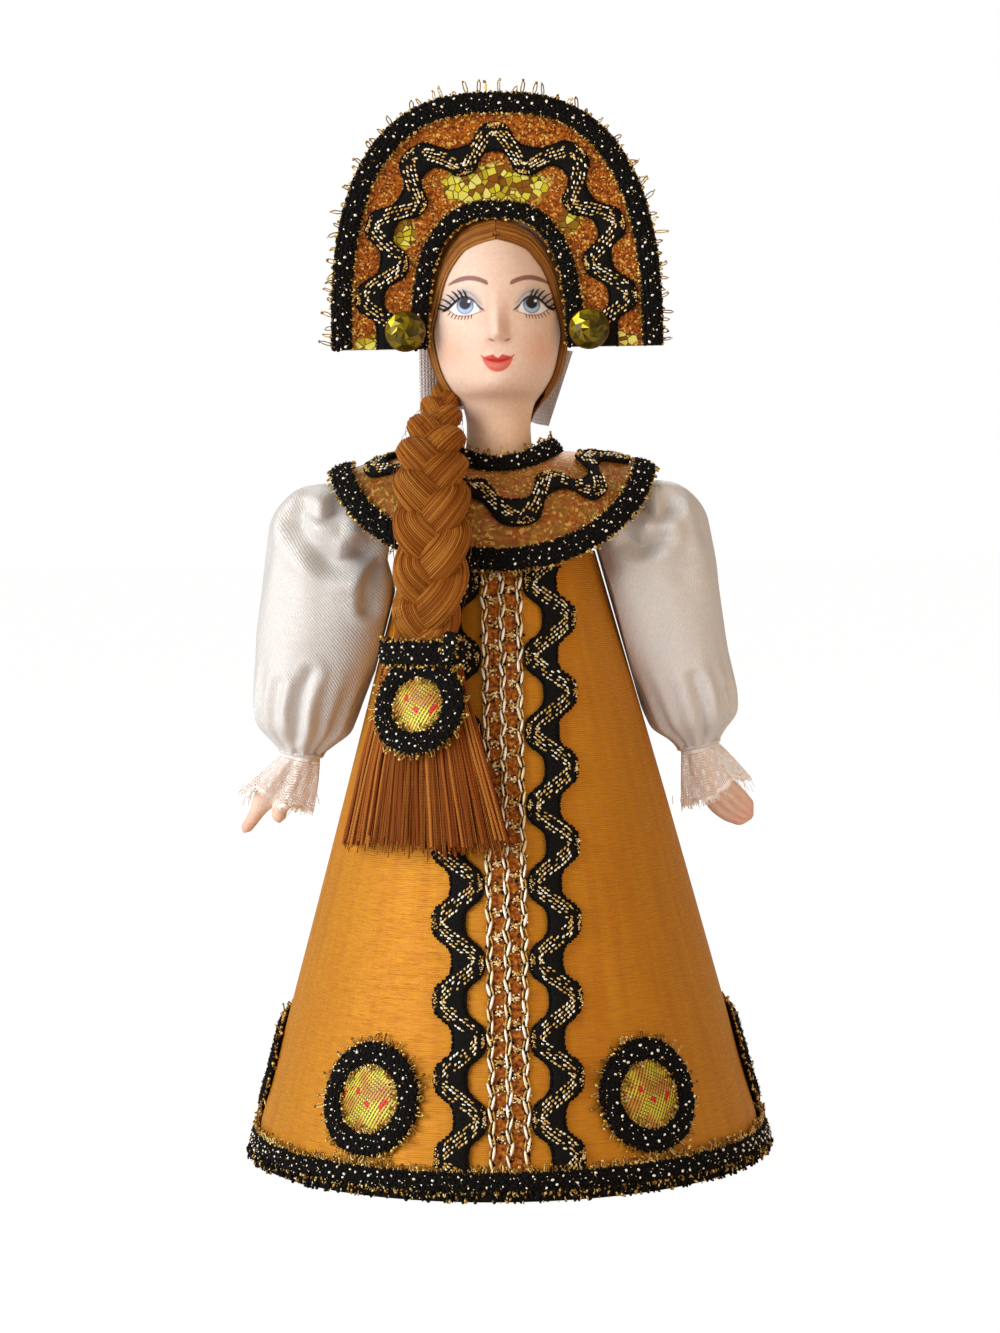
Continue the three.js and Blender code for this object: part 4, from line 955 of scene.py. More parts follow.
# Heights over the middle of the eyes: the lids across an eye's width, and the brow by distance from
# the middle of the face.
upperLid = smoothTable([(-0.1, -1.1), (0.05, -0.5), (0.2, 0.6), (0.42, 1.45), (0.65, 1.3), (0.85, 0.5),
                        (1.0, -0.3), (1.25, -0.8)])
lowerLid = smoothTable([(-0.1, -1.0), (0.05, -1.3), (0.3, -1.75), (0.55, -1.9), (0.8, -1.6), (1.0, -0.8),
                        (1.25, -0.6)])
browLine = smoothTable([(1.5, 3.8), (2.4, 4.3), (5.2, 5.1), (7.6, 4.75), (9.6, 3.9)])


# The painted face as a colour for each point: layers of colour, each with a soft mask; a few layers are
# painted light, shade and highlights.
def facePaint(x, z, front):
    shade = np.empty(x.shape + (3,))
    shade[:] = skinTone

    def lay(tint, mask):
        shade[:] += (np.array(tint, float) - shade) * (np.clip(mask, 0, 1) * front)[..., None]

    def disc(low, high, across, rise):
        return 1 - smooth(low, high, np.hypot(across, rise))

    side = np.abs(x)
    lay((232, 146, 112), 0.3 * bump(side, 8.2, 3.0) * bump(z, 151.8, 3.0))
    # Painted light: the lower chin and the neck are made paler and warmer.
    lay((250, 218, 190), 0.7 * (1 - smooth(141.5, 147, z)))
    # Painted shadow under the chin.
    lay((214, 158, 134), 0.3 * bump(z, 143.6, 1.3) * bump(x, 0, 8))
    # Painted shade along the sides of the nose.
    lay((214, 160, 138), 0.35 * bump(side, 1.75, 0.7) * smooth(152.5, 154.5, z) * (1 - smooth(158, 163, z)))
    # Painted shade under the nose tip.
    lay((216, 150, 128), 0.3 * bump(side, 1.3, 1.2) * bump(z, 153.3, 0.8))
    for sign, eye in ((-1, rightEye), (1, leftEye)):
        share = (sign * x - eye["inner"]) / (eye["outer"] - eye["inner"])
        top, bottom = bust["eyeZ"] + upperLid(share)[..., 0], bust["eyeZ"] + lowerLid(share)[..., 0]
        within = smooth(-0.12, 0.08, share) * (1 - smooth(1.0, 1.3, share)) * (sign * x > 0)
        lay((150, 165, 190), 0.5 * within * smooth(-0.2, 0.3, z - top) * (1 - smooth(0.8, 3.0, z - top)))
        lay((150, 104, 92), 0.5 * within * bump(z, top + 1.05, 0.16))
        inside = smooth(-0.1, 0.1, top - z) * smooth(-0.1, 0.1, z - bottom) * (share > 0) * (share < 1.02)
        lay((244, 244, 248), inside)
        # Painted shade at the top of the eye white, under the upper lid.
        lay((196, 204, 220), 0.5 * inside * bump(z, top, 0.7))
        across, rise = x - eye["middle"], z - bust["eyeZ"]
        iris = inside * disc(1.5, 1.68, across, rise)
        lay((166, 196, 234), iris)
        lay((96, 120, 160), 0.8 * iris * smooth(-0.6, 0.6, rise))
        lay((70, 92, 130), 0.7 * iris * smooth(1.3, 1.52, np.hypot(across, rise)))
        lay((10, 10, 14), inside * disc(0.95, 1.12, across, rise - 0.35))
        # Painted highlight: a white dot on the iris.
        lay((255, 255, 255), inside * disc(0.22, 0.33, across - 0.7, rise - 0.75))
        thick = 0.13 + 0.12 * smooth(0.3, 0.9, share)
        lined = smooth(-0.14, 0.02, share) * (1 - smooth(1.15, 1.28, share)) * (sign * x > 0)
        lay((26, 20, 20), lined * (1 - smooth(thick, thick + 0.14, np.abs(z - top - 0.08))))
        lay((150, 96, 84), 0.55 * lined * (1 - smooth(0.06, 0.2, np.abs(z - bottom))) * (share < 1.05))
        lay((222, 130, 118), inside * disc(0.1, 0.3, sign * x - eye["inner"] - 0.2, rise + 1.0))
        beside = sign * x - eye["brow"]
        brow = bust["eyeZ"] + browLine(beside)[..., 0]
        taper = smooth(1.6, 2.2, beside) * (1 - smooth(6.8, 9.9, beside))
        hairs = 0.85 * smooth(0.02, 0.3, taper) * (beside > 1.6) * (beside < 9.8)
        lay((130, 85, 80), hairs * (1 - smooth(0.12 + 0.24 * taper, 0.24 + 0.3 * taper, np.abs(z - brow))))
    beside = np.abs(x - 0.4)
    lay((104, 66, 62), 0.9 * bump(beside, 1.5, 0.5) * bump(z, 153.5 + 0.35 * (beside - 1.5), 0.16))
    share = side / 2.95
    line = bust["mouthZ"] + 1.0 * np.minimum(share, 1.2) ** 2.2
    crest = bust["mouthZ"] + 0.55 + 0.85 * bump(side, 1.25, 0.75) + 0.2 * share
    lip = (share < 1) * 1.0
    crest = np.minimum(crest, line + 1.6 * (1.03 - share))
    upper = lip * smooth(-0.08, 0.1, z - line) * smooth(-0.1, 0.1, crest - z)
    bottom = bust["mouthZ"] - 1.95 * np.sqrt(np.clip(1 - (share / 0.98) ** 2.2, 0, 1)) + share ** 2.2
    lower = lip * smooth(-0.08, 0.1, line - z) * smooth(-0.1, 0.12, z - bottom)
    lay((206, 70, 60), 0.95 * upper)
    lay((216, 104, 90), 0.92 * lower)
    # Painted highlight: a lighter middle of the lower lip.
    lay((236, 150, 134), 0.5 * lower * bump(x, 0.3, 1.1) * bump(z, bust["mouthZ"] - 0.9, 0.45))
    lay((176, 30, 30), 0.9 * (share < 1.08) * bump(z, line, 0.26 - 0.12 * share))
    return shade


porcelain = newMaterial("porcelain", Roughness=0.5, Specular_IOR_Level=0.3)
porcelainGrain = noise(porcelain, clothPlace(porcelain), 1.4, 3)
porcelainShade = ramp(porcelain, porcelainGrain, [(0.3, 244, 238, 234), (0.7, 255, 252, 250)])
setShader(porcelain, {
    "Base Color": mixed(porcelain, 1.0, readAttribute(porcelain, "paint", "Color"), porcelainShade,
                        "MULTIPLY")})

lashInk = tonedMaterial("lash_ink", [(0.0, 12, 10, 12), (1.0, 128, 84, 74)], Roughness=0.6)


# Lines of lashes over an eye and under it, each with its tone: 0 above and 1 below.
def eyeLashes(sign, eye):
    steps = np.linspace(0, 1, 6)
    lashes, tones = [], []
    for number, share in enumerate(np.linspace(0.45, 1.14, 7)):
        startX = eye["inner"] + share * (eye["outer"] - eye["inner"])
        length = 1.5 + 0.85 * smooth(0.3, 1.0, share)
        slant = 0.35 + 0.85 * (number / 6)
        x = startX + length * np.sin(slant) * steps ** 1.1
        rise = length * math.cos(slant) * (1.35 * steps - 0.35 * steps ** 2)
        lashes.append(onFace(sign * x, bust["eyeZ"] + float(upperLid(share)[0]) + rise, 0.12 + 0.25 * steps))
        tones.append(0.0)
    for number, share in enumerate(np.linspace(0.3, 0.95, 8)):
        startX = eye["inner"] + share * (eye["outer"] - eye["inner"])
        x = startX + (0.1 + 0.55 * number / 8) * steps
        lashes.append(onFace(sign * x, bust["eyeZ"] + float(lowerLid(share)[0]) - 0.75 * steps, 0.06))
        tones.append(1.0)
    return lashes, tones


# Rows of points that lie closest over the face, and lashes.
def addBust():
    z = np.concatenate([np.linspace(bust["bottom"], 141, 40), np.arange(141.3, 168, 0.16),
                        np.linspace(168.2, bust["top"] - 0.01, 22)])[:, None]
    forward = np.arcsin(np.linspace(-0.985, 0.985, 170))
    behind = np.linspace(forward[-1], tau + forward[0], 60)[1:-1]
    turn = np.concatenate([forward, behind])[None, :]
    points = bustPoint(turn, z)
    front = np.broadcast_to(smooth(0.0, 0.25, np.cos(turn)), points.shape[:2])
    part = surfacePart(points, porcelain, False, True, points)
    part["paint"] = linearColours(facePaint(points[..., 0], points[..., 2], front)).reshape(-1, 4)
    pairs = [eyeLashes(sign, eye) for sign, eye in ((-1, rightEye), (1, leftEye))]
    lashes, tones = (np.concatenate(each) for each in zip(*pairs))
    radius = np.array([0.15, 0.16, 0.16, 0.14, 0.11, 0.06]) * (1 - 0.4 * tones[:, None])
    lashPart = tubesPart(lashes, radius, lashInk, 4, tones=tones)
    addPiece("porcelain_bust", [part, lashPart], ["bust"])


# Thread wig: strands from the parting down over the skull to the nape.

hairThread = newMaterial("hair_thread", Roughness=0.5, Specular_IOR_Level=0.25, Anisotropic=0.4)
hairFibre = noise(hairThread, clothPlace(hairThread, (0.5, 9, 1)), 1.0, 2)
hairShade = byTone(hairThread, [(0.0, 124, 70, 14), (0.5, 164, 102, 30), (1.0, 198, 138, 56)])
setShader(hairThread, {
    "Base Color": mixed(hairThread, product(hairThread, hairFibre, 0.6), hairShade, colour(96, 50, 8)),
    "Normal": relief(hairThread, hairFibre, 0.0002, 0.5)})

# Half-width of the face that the hair leaves open, at each height.
faceWindow = smoothTable([
    (140, 6.5), (143, 7.6), (146, 9.5), (149, 10.8), (152, 11.5), (155, 11.9), (159.5, 11.3), (163, 10.5),
    (165.3, 9.7), (168.5, 7.7), (171, 4.6), (172.4, 0)])
skullMiddle = np.array([0, 0.6, 159.0])
plaitRoot = np.array([-6.5, 9.0, 144.0])
hair = {"lift": 1.05, "strandLength": 40, "capWidth": 36, "partingZ": 172.3}


# Where rays from the middle of the skull leave the head, by halving.
def onSkull(direction, lift):
    near = np.full(direction.shape[:-1], 1.0)
    far = np.full(direction.shape[:-1], 26.0)
    for _ in range(26):
        half = (near + far) / 2
        point = skullMiddle + half[..., None] * direction
        x, y, z = np.moveaxis(point, -1, 0)
        halfWidth, front, back = np.moveaxis(np.maximum(bustShape(np.clip(z, 134, bust["top"])), 1e-3), -1, 0)
        depth = np.where(y < 0, front, back)
        out = ((x / halfWidth) ** 2 + (y / depth) ** 2 > 1) | (z > bust["top"])
        far = np.where(out, half, far)
        near = np.where(out, near, half)
    return skullMiddle + (near + lift)[..., None] * direction


# Strand share 0 runs by the face and share 1 down the back; step 0 is the parting and step 1 the nape.
def strandPoints(side, share, step, lift):
    fall = 1 - (1 - step) ** 1.15
    frontZ = hair["partingZ"] - (28.5 if side < 0 else 25.5) * fall
    inwards = 0.45 * smooth(0.02, 0.15, step) * smooth(155, 162, frontZ)
    frontX = np.clip(faceWindow(frontZ)[..., 0] - inwards, 0, None)
    byFace = onFace(frontX, frontZ)
    backZ = 170 - 24.5 * step
    down = bustPoint(np.full(np.shape(backZ), math.pi), backZ)
    wide = 4.5 * np.sin(math.pi * share) * step
    blended = (1 - share)[..., None] * (byFace - skullMiddle) + share[..., None] * (down - skullMiddle)
    blended[..., 0] += wide
    blended = unit(blended)
    blended[..., 0] -= 0.015 * (1 - smooth(0, 0.1, step))
    blended[..., 0] *= side
    toRoot = unit(plaitRoot - skullMiddle)
    lowest, foremost = (0.8, 0.05) if side < 0 else (0.72, -0.1)
    gather = 0.75 * smooth(lowest, 1.0, step) * smooth(foremost, 0.3, share)
    full = 1.3 * bump(step, 0.32, 0.22) * smooth(0.05, 0.35, share)
    return onSkull(unit(blended + gather[..., None] * (toRoot - blended)), lift + full)


# A plain cap under single strands on each side, and a row of short threads over the parting.
def addWig():
    parts = []
    count = 185
    for side in (-1, 1):
        share, step = np.meshgrid(np.linspace(0, 1, 80), np.linspace(0, 1, 40), indexing="ij")
        base = strandPoints(side, share, step, 0.3 + (hair["lift"] - 0.45) * smooth(0, 0.05, share))
        cloth = triples(step * hair["strandLength"], share * hair["capWidth"], 0.0)
        parts.append(surfacePart(base, hairThread, cloth=cloth, tone=np.full(share.shape, 0.1)))
        shares = np.linspace(0, 1, count) ** 1.15
        shares = np.clip(shares + normal(0, 0.0012, count), 0, 1)
        share, step = np.meshgrid(shares, np.linspace(0, 1, 34), indexing="ij")
        wave = 0.0015 * np.sin(9 * step + 12 * share)
        lift = 0.35 + (hair["lift"] - 0.35) * smooth(0, 0.06, share) + normal(0, 0.07, (count, 1))
        strands = strandPoints(side, np.clip(share + wave, 0, 1), step, lift)
        radius = 0.14 + 0.06 * random.random((count, 1))
        parts.append(tubesPart(strands, radius, hairThread, 5))
    share = np.linspace(0, 0.95, 60)[None, :]
    across = np.linspace(-0.4, 0.4, 6)[:, None]
    parting = strandPoints(1, np.tile(share, (6, 1)), np.zeros((6, 60)), hair["lift"] - 0.1)
    parting[..., 0] = across + 0.06 * np.sin(90 * share + 7 * across)
    parts.append(tubesPart(parting, 0.2, hairThread, 5))
    addPiece("thread_wig", parts, ["wig"])


tapeCloth = newMaterial("white_tape", Roughness=0.8)
tapePlace = clothPlace(tapeCloth)
tapeWeave = product(tapeCloth, *(bands(tapeCloth, tapePlace, 0.5, way) for way in "XY"))
setShader(tapeCloth, {
    "Base Color": ramp(tapeCloth, tapeWeave, [(0.0, 236, 232, 238), (0.8, 253, 252, 254)]),
    "Normal": relief(tapeCloth, tapeWeave, 0.0003, 0.6)})
napeTape = {"rightEnd": -15.1, "leftEnd": 14.5}
# Upper and lower edge of the tape at each distance from the middle.
tapeEdges = smoothTable([
    (napeTape["rightEnd"], 153.6, 141), (-12, 154, 141.2), (-6, 154.3, 141.6), (0, 154.5, 141.8),
    (6, 154, 140.6), (10, 153.2, 138.8), (napeTape["leftEnd"], 152.2, 138)])


# White woven tape round the nape: its ends stand off the hair, and the left one is cut on a slant.
def addHeadTape():
    x = np.linspace(napeTape["rightEnd"], napeTape["leftEnd"], 70)[:, None]
    share = np.linspace(0, 1, 16)[None, :]
    top, bottom = np.moveaxis(tapeEdges(x), -1, 0)
    pull = np.where(x > 0, x / napeTape["leftEnd"] * 0.34 * (top - bottom), 0)
    edgeX = x - pull * share
    depth = 14.2 - 5.6 * smooth(4, 15, np.abs(edgeX))
    point = triples(edgeX, depth, top + (bottom - top) * share)
    tape = addPiece("woven_tape", [surfacePart(point, tapeCloth)], ["head_tape"])


# Headdress

kokoshnik = {
    "bottom": 152.4, "height": 47.6, "halfWidth": 31.2, "openingHalfWidth": 13.8, "openingHeight": 25.0,
    "archPower": 2 / 2.66,  # of a superellipse
    "clothFront": -6.3, "clothLift": 0.02, "clothInset": 0.3, "openingInset": 0.2,
    "trimWidth": 3.5, "openingTrimWidth": 2.9, "openingTrimOverhang": 0.7,
    "waveHalfWidth": 21.9, "waveHeight": 37.2, "waveWidth": 5.4, "waveSwing": 2.0,
    # Distances of the wave's tips along the arch from its top.
    "waveTips": (0.01, 6.3, 14.2, 20.4, 27.2, 33.2, 40.3, 46.2)}

# Metal brocade: orange glitter, with a patch of bright yellow facets over the brow.
brocade = newMaterial("brocade", Metallic=0.5, Roughness=0.34)
brocadePlace = clothPlace(brocade)
brocadeAxes = addNode(brocade, "ShaderNodeSeparateXYZ", {0: brocadePlace}).outputs
glitter = cells(brocade, brocadePlace, 3.0)
glitterValue = brightness(brocade, glitter)
glitterShade = ramp(brocade, glitterValue, [
    (0.1, 110, 48, 6), (0.45, 172, 88, 14), (0.8, 206, 116, 24), (0.97, 250, 206, 104)])
facets = cells(brocade, brocadePlace, 0.75)
facetValue = brightness(brocade, facets, 1)
facetShade = ramp(brocade, facetValue, [
    (0.2, 150, 92, 20), (0.4, 186, 158, 40), (0.6, 238, 230, 44), (0.9, 255, 250, 130)])
facetGap = cells(brocade, brocadePlace, 0.75, "Distance", "DISTANCE_TO_EDGE")
facetTinted = mixed(brocade, fade(brocade, facetGap, 0.03, 0.08), colour(96, 60, 12), facetShade)


# White inside an oval of the headdress's cloth and black outside, with a rough edge.
def brocadeZone(centreX, centreZ, spreadX, spreadZ):
    squares = []
    for axis, centre, spread in (("X", centreX, spreadX), ("Y", centreZ, spreadZ)):
        away = maths(brocade, "DIVIDE", maths(brocade, "SUBTRACT", brocadeAxes[axis], centre), spread)
        squares.append(product(brocade, away, away))
    edge = product(brocade, noise(brocade, brocadePlace, 0.5), 0.8)
    rough = maths(brocade, "ADD", maths(brocade, "ADD", *squares), edge)
    return ramp(brocade, rough, [(0.85, 255, 255, 255), (1.0, 0, 0, 0)])


facetZones = brocadeZone(0, 182.5, 14, 5.5)
for zone in ((-17, 174, 3.2, 4), (14, 176, 3, 3.4), (-21, 153.5, 8, 2.4), (21, 153.5, 8, 2.4)):
    facetZones = mixed(brocade, 1.0, facetZones, brocadeZone(*zone), "LIGHTEN")
setShader(brocade, {
    "Base Color": mixed(brocade, facetZones, glitterShade, facetTinted),
    "Normal": relief(brocade, glitterValue, 0.0003, 0.8)})


# Evenly spaced points of an arch over the headdress's lower edge: x and z.
def archRun(halfWidth, height, count):
    turn = np.linspace(0, math.pi, 800)
    x = halfWidth * np.sign(np.cos(turn)) * np.abs(np.cos(turn)) ** kokoshnik["archPower"]
    z = kokoshnik["bottom"] + height * np.abs(np.sin(turn)) ** kokoshnik["archPower"]
    return respace(np.stack([x, z], -1), count)


# A course along an arch on the front of the headdress.
def headCourse(run):
    line = triples(run[:, 0], kokoshnik["clothFront"], run[:, 1])
    return courseOf(line, np.tile([0, -1, 0], (len(run), 1)))


# Cloth between the outer arch and the opening's, a braid along each, and a wavy braid between them.
def addKokoshnik():
    inset, openingInset = kokoshnik["clothInset"], kokoshnik["openingInset"]
    outer = archRun(kokoshnik["halfWidth"] - inset, kokoshnik["height"] - inset, 160)
    inner = archRun(kokoshnik["openingHalfWidth"] + openingInset,
                    kokoshnik["openingHeight"] + openingInset, 160)
    share = np.linspace(0, 1, 14)[:, None, None]
    flat = outer + (inner - outer) * share
    pucker = 0.08 * np.sin(flat[..., 0] * 1.3) * np.sin(flat[..., 1] * 1.1)
    points = triples(flat[..., 0], kokoshnik["clothFront"] - kokoshnik["clothLift"] + pucker, flat[..., 1])
    cloth = triples(flat[..., 0], flat[..., 1], 0.0)
    cover = addPiece("kokoshnik_cloth", [surfacePart(points, brocade, cloth=cloth)],
                     ["kokoshnik_brocade"])

    half = kokoshnik["trimWidth"] / 2 + gap
    course = headCourse(archRun(kokoshnik["halfWidth"] - half, kokoshnik["height"] - half, 200))
    parts = braidTrim(course, kokoshnik["trimWidth"], gap, trimHeight, (0.8, 2.6), 2.0, (1,), 3.4)
    parts += wireLoops(course, -1, kokoshnik["trimWidth"], 0.7, (0.3, 0.9), 1.8)
    addPiece("kokoshnik_outer_braid", parts, ["kokoshnik_outer_trim"])
    out = kokoshnik["openingTrimWidth"] / 2 - kokoshnik["openingTrimOverhang"]
    course = headCourse(archRun(kokoshnik["openingHalfWidth"] + out, kokoshnik["openingHeight"] + out, 140))
    parts = braidTrim(course, kokoshnik["openingTrimWidth"], gap, trimHeight, (0.3, 0.8), 2.0, dotPitch=3.0)
    addPiece("kokoshnik_inner_braid", parts, ["kokoshnik_inner_trim"])

    course = headCourse(archRun(kokoshnik["waveHalfWidth"], kokoshnik["waveHeight"], 300))
    tips = [(course["total"] / 2 + way * reach, 1 if number % 2 == 0 else -1)
            for way in (-1, 1) for number, reach in enumerate(kokoshnik["waveTips"])]
    parts = ricRac(course, kokoshnik["waveWidth"], kokoshnik["waveSwing"], gap, frontBraid["thickness"], tips)
    addPiece("kokoshnik_wavy_braid", parts, ["kokoshnik_ric_rac"])


# The brightest stop is reached only where the painted glint lifts a facet's tone.
stoneGlass = tonedMaterial("yellow_stone", [
    (0.1, 50, 42, 2), (0.5, 92, 78, 4), (0.8, 146, 126, 8), (0.95, 250, 240, 70)],
    Roughness=0.25, Specular_IOR_Level=0.2)
stones = {
    "x": 17.2, "z": 155.6, "back": -8.1, "settingRadius": 3.5, "settingBack": -8.0,
    "rings": [(3.65, 0.0, 0), (3.65, 0.8, 0), (2.7, 1.75, 0.5), (1.55, 2.45, 0), (0.0, 2.6, 0)]}


# Round cut stone: rings of facets up to a small table, each ring with its radius, its height and its
# turn in facets, and each facet with its own depth of colour, lighter on the upper left as a painted glint.
def addStone(name, node, side):
    def circle(radius, y, angle):
        return triples(side * stones["x"] + radius * np.cos(angle), y, stones["z"] + radius * np.sin(angle))

    count = 12
    loops = []
    for radius, height, turn in stones["rings"]:
        angle = tau * (np.arange(count) + turn) / count
        loops.append(circle(radius, stones["back"] - height, angle))
    points, tones = [], []
    for low, high in zip(loops[:-1], loops[1:]):
        for i in range(count):
            k = (i + 1) % count
            points += [low[i], low[k], high[i], low[k], high[k], high[i]]
            # Painted glint: facets on the upper left are made lighter.
            paintedGlint = 0.5 * bump(angle[i], 2.2, 0.5)
            tones += [0.7 * random.random() + paintedGlint] * 3 + [0.7 * random.random() + paintedGlint] * 3
    faces = np.arange(len(points)).reshape(-1, 3)
    stone = makePart(points, faces, stoneGlass, None, tones)
    edge = circle(stones["settingRadius"], stones["settingBack"], np.linspace(0, tau, 30))
    setting = bandPart(courseOf(edge, np.tile([0, -1, 0], (30, 1))), 0.7, -0.1, 0.4, goldWire, 0.8, 2)
    addPiece(name, [stone, setting], [node], shade=False)


addBust()
addWig()
addHeadTape()
addKokoshnik()
addStone("cut_stone_right", "rhinestone_right", -1)
addStone("cut_stone_left", "rhinestone_left", 1)
print("head")


# Collar

collarCut = {
    "neckRadius": 8.6, "thickness": 0.6, "right": 31.2, "left": 28.6, "front": 20.6,
    "power": 2 / 2.4,  # of a superellipse
    "topZ": 133.0, "fall": 22.6, "neckZ": 129.6, "neckRise": 3.2, "meanRadius": 20, "meanLength": 24,
    "trimWidth": 4.0, "neckTrimWidth": 3.4, "waveWidth": 4.7, "waveSwing": 2.5}


# The collar's cloth as in the CAD model: share 0 is the neck and 1 the edge, and angle 0 is the front.
def collarPoint(angle, share):
    s, c = np.sin(angle), np.cos(angle)
    sideways = np.abs(s) ** collarCut["power"]
    edgeX = np.where(s > 0, collarCut["left"], -collarCut["right"]) * sideways
    edgeY = -collarCut["front"] * np.sign(c) * np.abs(c) ** collarCut["power"]
    edgeZ = collarCut["topZ"] - collarCut["fall"] * np.sqrt(1 - (0.984 * sideways) ** 2)
    neckZ = collarCut["neckZ"] + collarCut["neckRise"] * s * s
    drape = np.radians(70 - 35 * s * s)
    out = np.sin(share * drape) / np.sin(drape)
    drop = (1 - np.cos(share * drape)) / (1 - np.cos(drape))
    neckX, neckY = collarCut["neckRadius"] * s, -collarCut["neckRadius"] * c
    x = neckX + (edgeX - neckX) * out
    y = neckY + (edgeY - neckY) * out
    return triples(x, y, neckZ + (edgeZ - neckZ) * drop)


# A point of the collar and the way out of the cloth there.
def collarStation(angle, share):
    step = 0.004
    ahead = collarPoint(angle + step, share) - collarPoint(angle - step, share)
    down = collarPoint(angle, share + step) - collarPoint(angle, share - step)
    return collarPoint(angle, share), unit(np.cross(down, ahead))


# The cloth's length from the neck to the edge.
def collarLength(angle):
    shares = np.linspace(0, 1, 21)[:, None]
    line = collarPoint(np.asarray(angle)[None, :], shares)
    return np.linalg.norm(np.diff(line, axis=0), axis=2).sum(0)


# Old gold brocade with orange glitter and a few pink and green threads.
collarCloth = newMaterial("collar_cloth", Metallic=0.4, Roughness=0.38)
collarPlace = clothPlace(collarCloth)
collarGlitter = brightness(collarCloth, cells(collarCloth, collarPlace, 2.4))
collarFlower = fade(collarCloth, noise(collarCloth, collarPlace, 0.3, 1), 0.6, 0.66)
collarGold = mixed(
    collarCloth, 0.5,
    ramp(collarCloth, collarGlitter, [
        (0.1, 104, 50, 12), (0.5, 156, 96, 30), (0.8, 190, 120, 44), (0.95, 250, 214, 120)]),
    ramp(collarCloth, noise(collarCloth, collarPlace, 0.4, 1), [(0.4, 170, 86, 20), (0.55, 160, 116, 40)]))
collarThreads = ramp(collarCloth, collarGlitter, [(0.3, 200, 60, 60), (0.6, 120, 140, 60)])
setShader(collarCloth, {
    "Base Color": mixed(collarCloth, product(collarCloth, collarFlower, 0.6), collarGold, collarThreads),
    "Normal": relief(collarCloth, collarGlitter, 0.0002, 0.6)})


# Draped cloth, a braid along its edge, one that stands up round the neck, and a wavy one between them.
def addCollar():
    angle = np.linspace(math.pi, 3 * math.pi, 160, endpoint=False)[:, None]
    share = np.linspace(0, 1, 22)[None, :]
    point, up = collarStation(angle, share)
    cloth = triples(angle * collarCut["meanRadius"], share * collarCut["meanLength"], 0.0)
    top = surfacePart(point + collarCut["thickness"] / 2 * up, collarCloth, True, False, cloth)
    collar = addPiece("collar_cloth", [top], ["collar"])

    turn = around(400)
    lift = collarCut["thickness"] / 2 + gap
    course = courseOf(*collarStation(turn, 1 - 1.7 / collarLength(turn)), True)
    parts = braidTrim(course, collarCut["trimWidth"], lift, trimHeight, (0.4, 1.1), 1.9)
    addPiece("collar_outer_braid", parts, ["collar_outer_trim"])
    neck, ups = collarStation(turn, 1.5 / collarLength(turn))
    outward = triples(np.sin(turn), -np.cos(turn), 0.0)
    course = courseOf(neck + [0, 0, 0.5], unit(ups + 1.3 * outward), True)
    parts = braidTrim(course, collarCut["neckTrimWidth"], lift, trimHeight, (0.7, 1.8), 1.6)
    addPiece("collar_neck_braid", parts, ["collar_neck_trim"])
    ring = np.linspace(0, tau, 401)
    length = collarLength(ring)
    share = (1.8 + length) / 2 / length
    lengths = runLengths(collarPoint(ring, share))

    def place(distance, across):
        angle = np.interp(np.mod(distance, lengths[-1]), lengths, ring)
        return collarPoint(angle, np.interp(angle, ring, share) + across / np.interp(angle, ring, length))

    waves, firstTip = 9, 0.12
    tips = [(float(np.interp(firstTip + n * math.pi / waves, ring, lengths)), -1 if n % 2 else 1)
            for n in range(2 * waves)]
    course = courseOver(place, lengths[-1], True)
    width, swing = collarCut["waveWidth"], collarCut["waveSwing"]
    parts = ricRac(course, width, swing, lift, frontBraid["thickness"], tips)
    addPiece("collar_wavy_braid", parts, ["collar_ric_rac"])


addCollar()
print("collar")


# Arms: each is worked out hanging from its shoulder, with x outwards, and then tilted and mirrored

shoulderZ = 116.3
leftArm = {"name": "left", "side": 1, "shoulder": 28.6, "tilt": 12.3, "flare": 0.8, "puff": smoothTable([
    (0, 10.9), (6, 10.8), (12, 10.4), (18, 9.9), (24, 9.4), (29, 9.1), (33, 8.7), (36, 7.7), (38.5, 5.3),
    (40, 4.2), (40.6, 3.9)])}
rightArm = {"name": "right", "side": -1, "shoulder": 32.8, "tilt": 8.2, "flare": 3.4, "puff": smoothTable([
    (0, 11.2), (6, 11.4), (12, 11.4), (18, 11.2), (24, 10.6), (29, 10.0), (33, 9.3), (36, 8.2), (38.5, 5.7),
    (40, 4.2), (40.6, 3.9)])}
sleeves = {"length": 40.5, "meanRadius": 11, "wristRadius": 4.0, "clearance": 0.2}
swings = np.radians(np.arange(-30, 31, 3))


# Local points of an arm in the doll's frame.
def armPlace(arm, local):
    tilt = math.radians(arm["tilt"])
    x, y, z = np.moveaxis(local, -1, 0)
    outward = arm["shoulder"] + x * math.cos(tilt) - z * math.sin(tilt)
    return triples(arm["side"] * outward, y, shoulderZ + x * math.sin(tilt) + z * math.cos(tilt))


# At no swing of the arm does anything of a sleeve go nearer to the dress than this.
def clearOfDress(points, distance):
    x, y, z = np.moveaxis(points, -1, 0)
    drop = z - shoulderZ
    limit = np.zeros(x.shape)
    for swing in swings:
        depth = y * math.cos(swing) - drop * math.sin(swing)
        height = shoulderZ + y * math.sin(swing) + drop * math.cos(swing)
        radius = np.where(height < dress["top"] + 1, skirtRadius(height), bustShape(height)[..., 0])
        limit = np.maximum(limit, (radius + distance) ** 2 - depth ** 2)
    return triples(np.sign(x) * np.maximum(np.abs(x), np.sqrt(limit)), y, z)


# Distance from points to a line of places, seen from the front.
def distanceTo(points, line):
    line = respace(curveThrough([(x, 0, z) for x, z in line], 40), 40)
    flat = points[..., None, [0, 2]] - line[:, [0, 2]]
    return np.linalg.norm(flat, axis=-1).min(-1)


sleeveSag = smoothTable([(0, 0), (24, 0), (34, 0.5), (38, 0.4), (40.6, 0)])

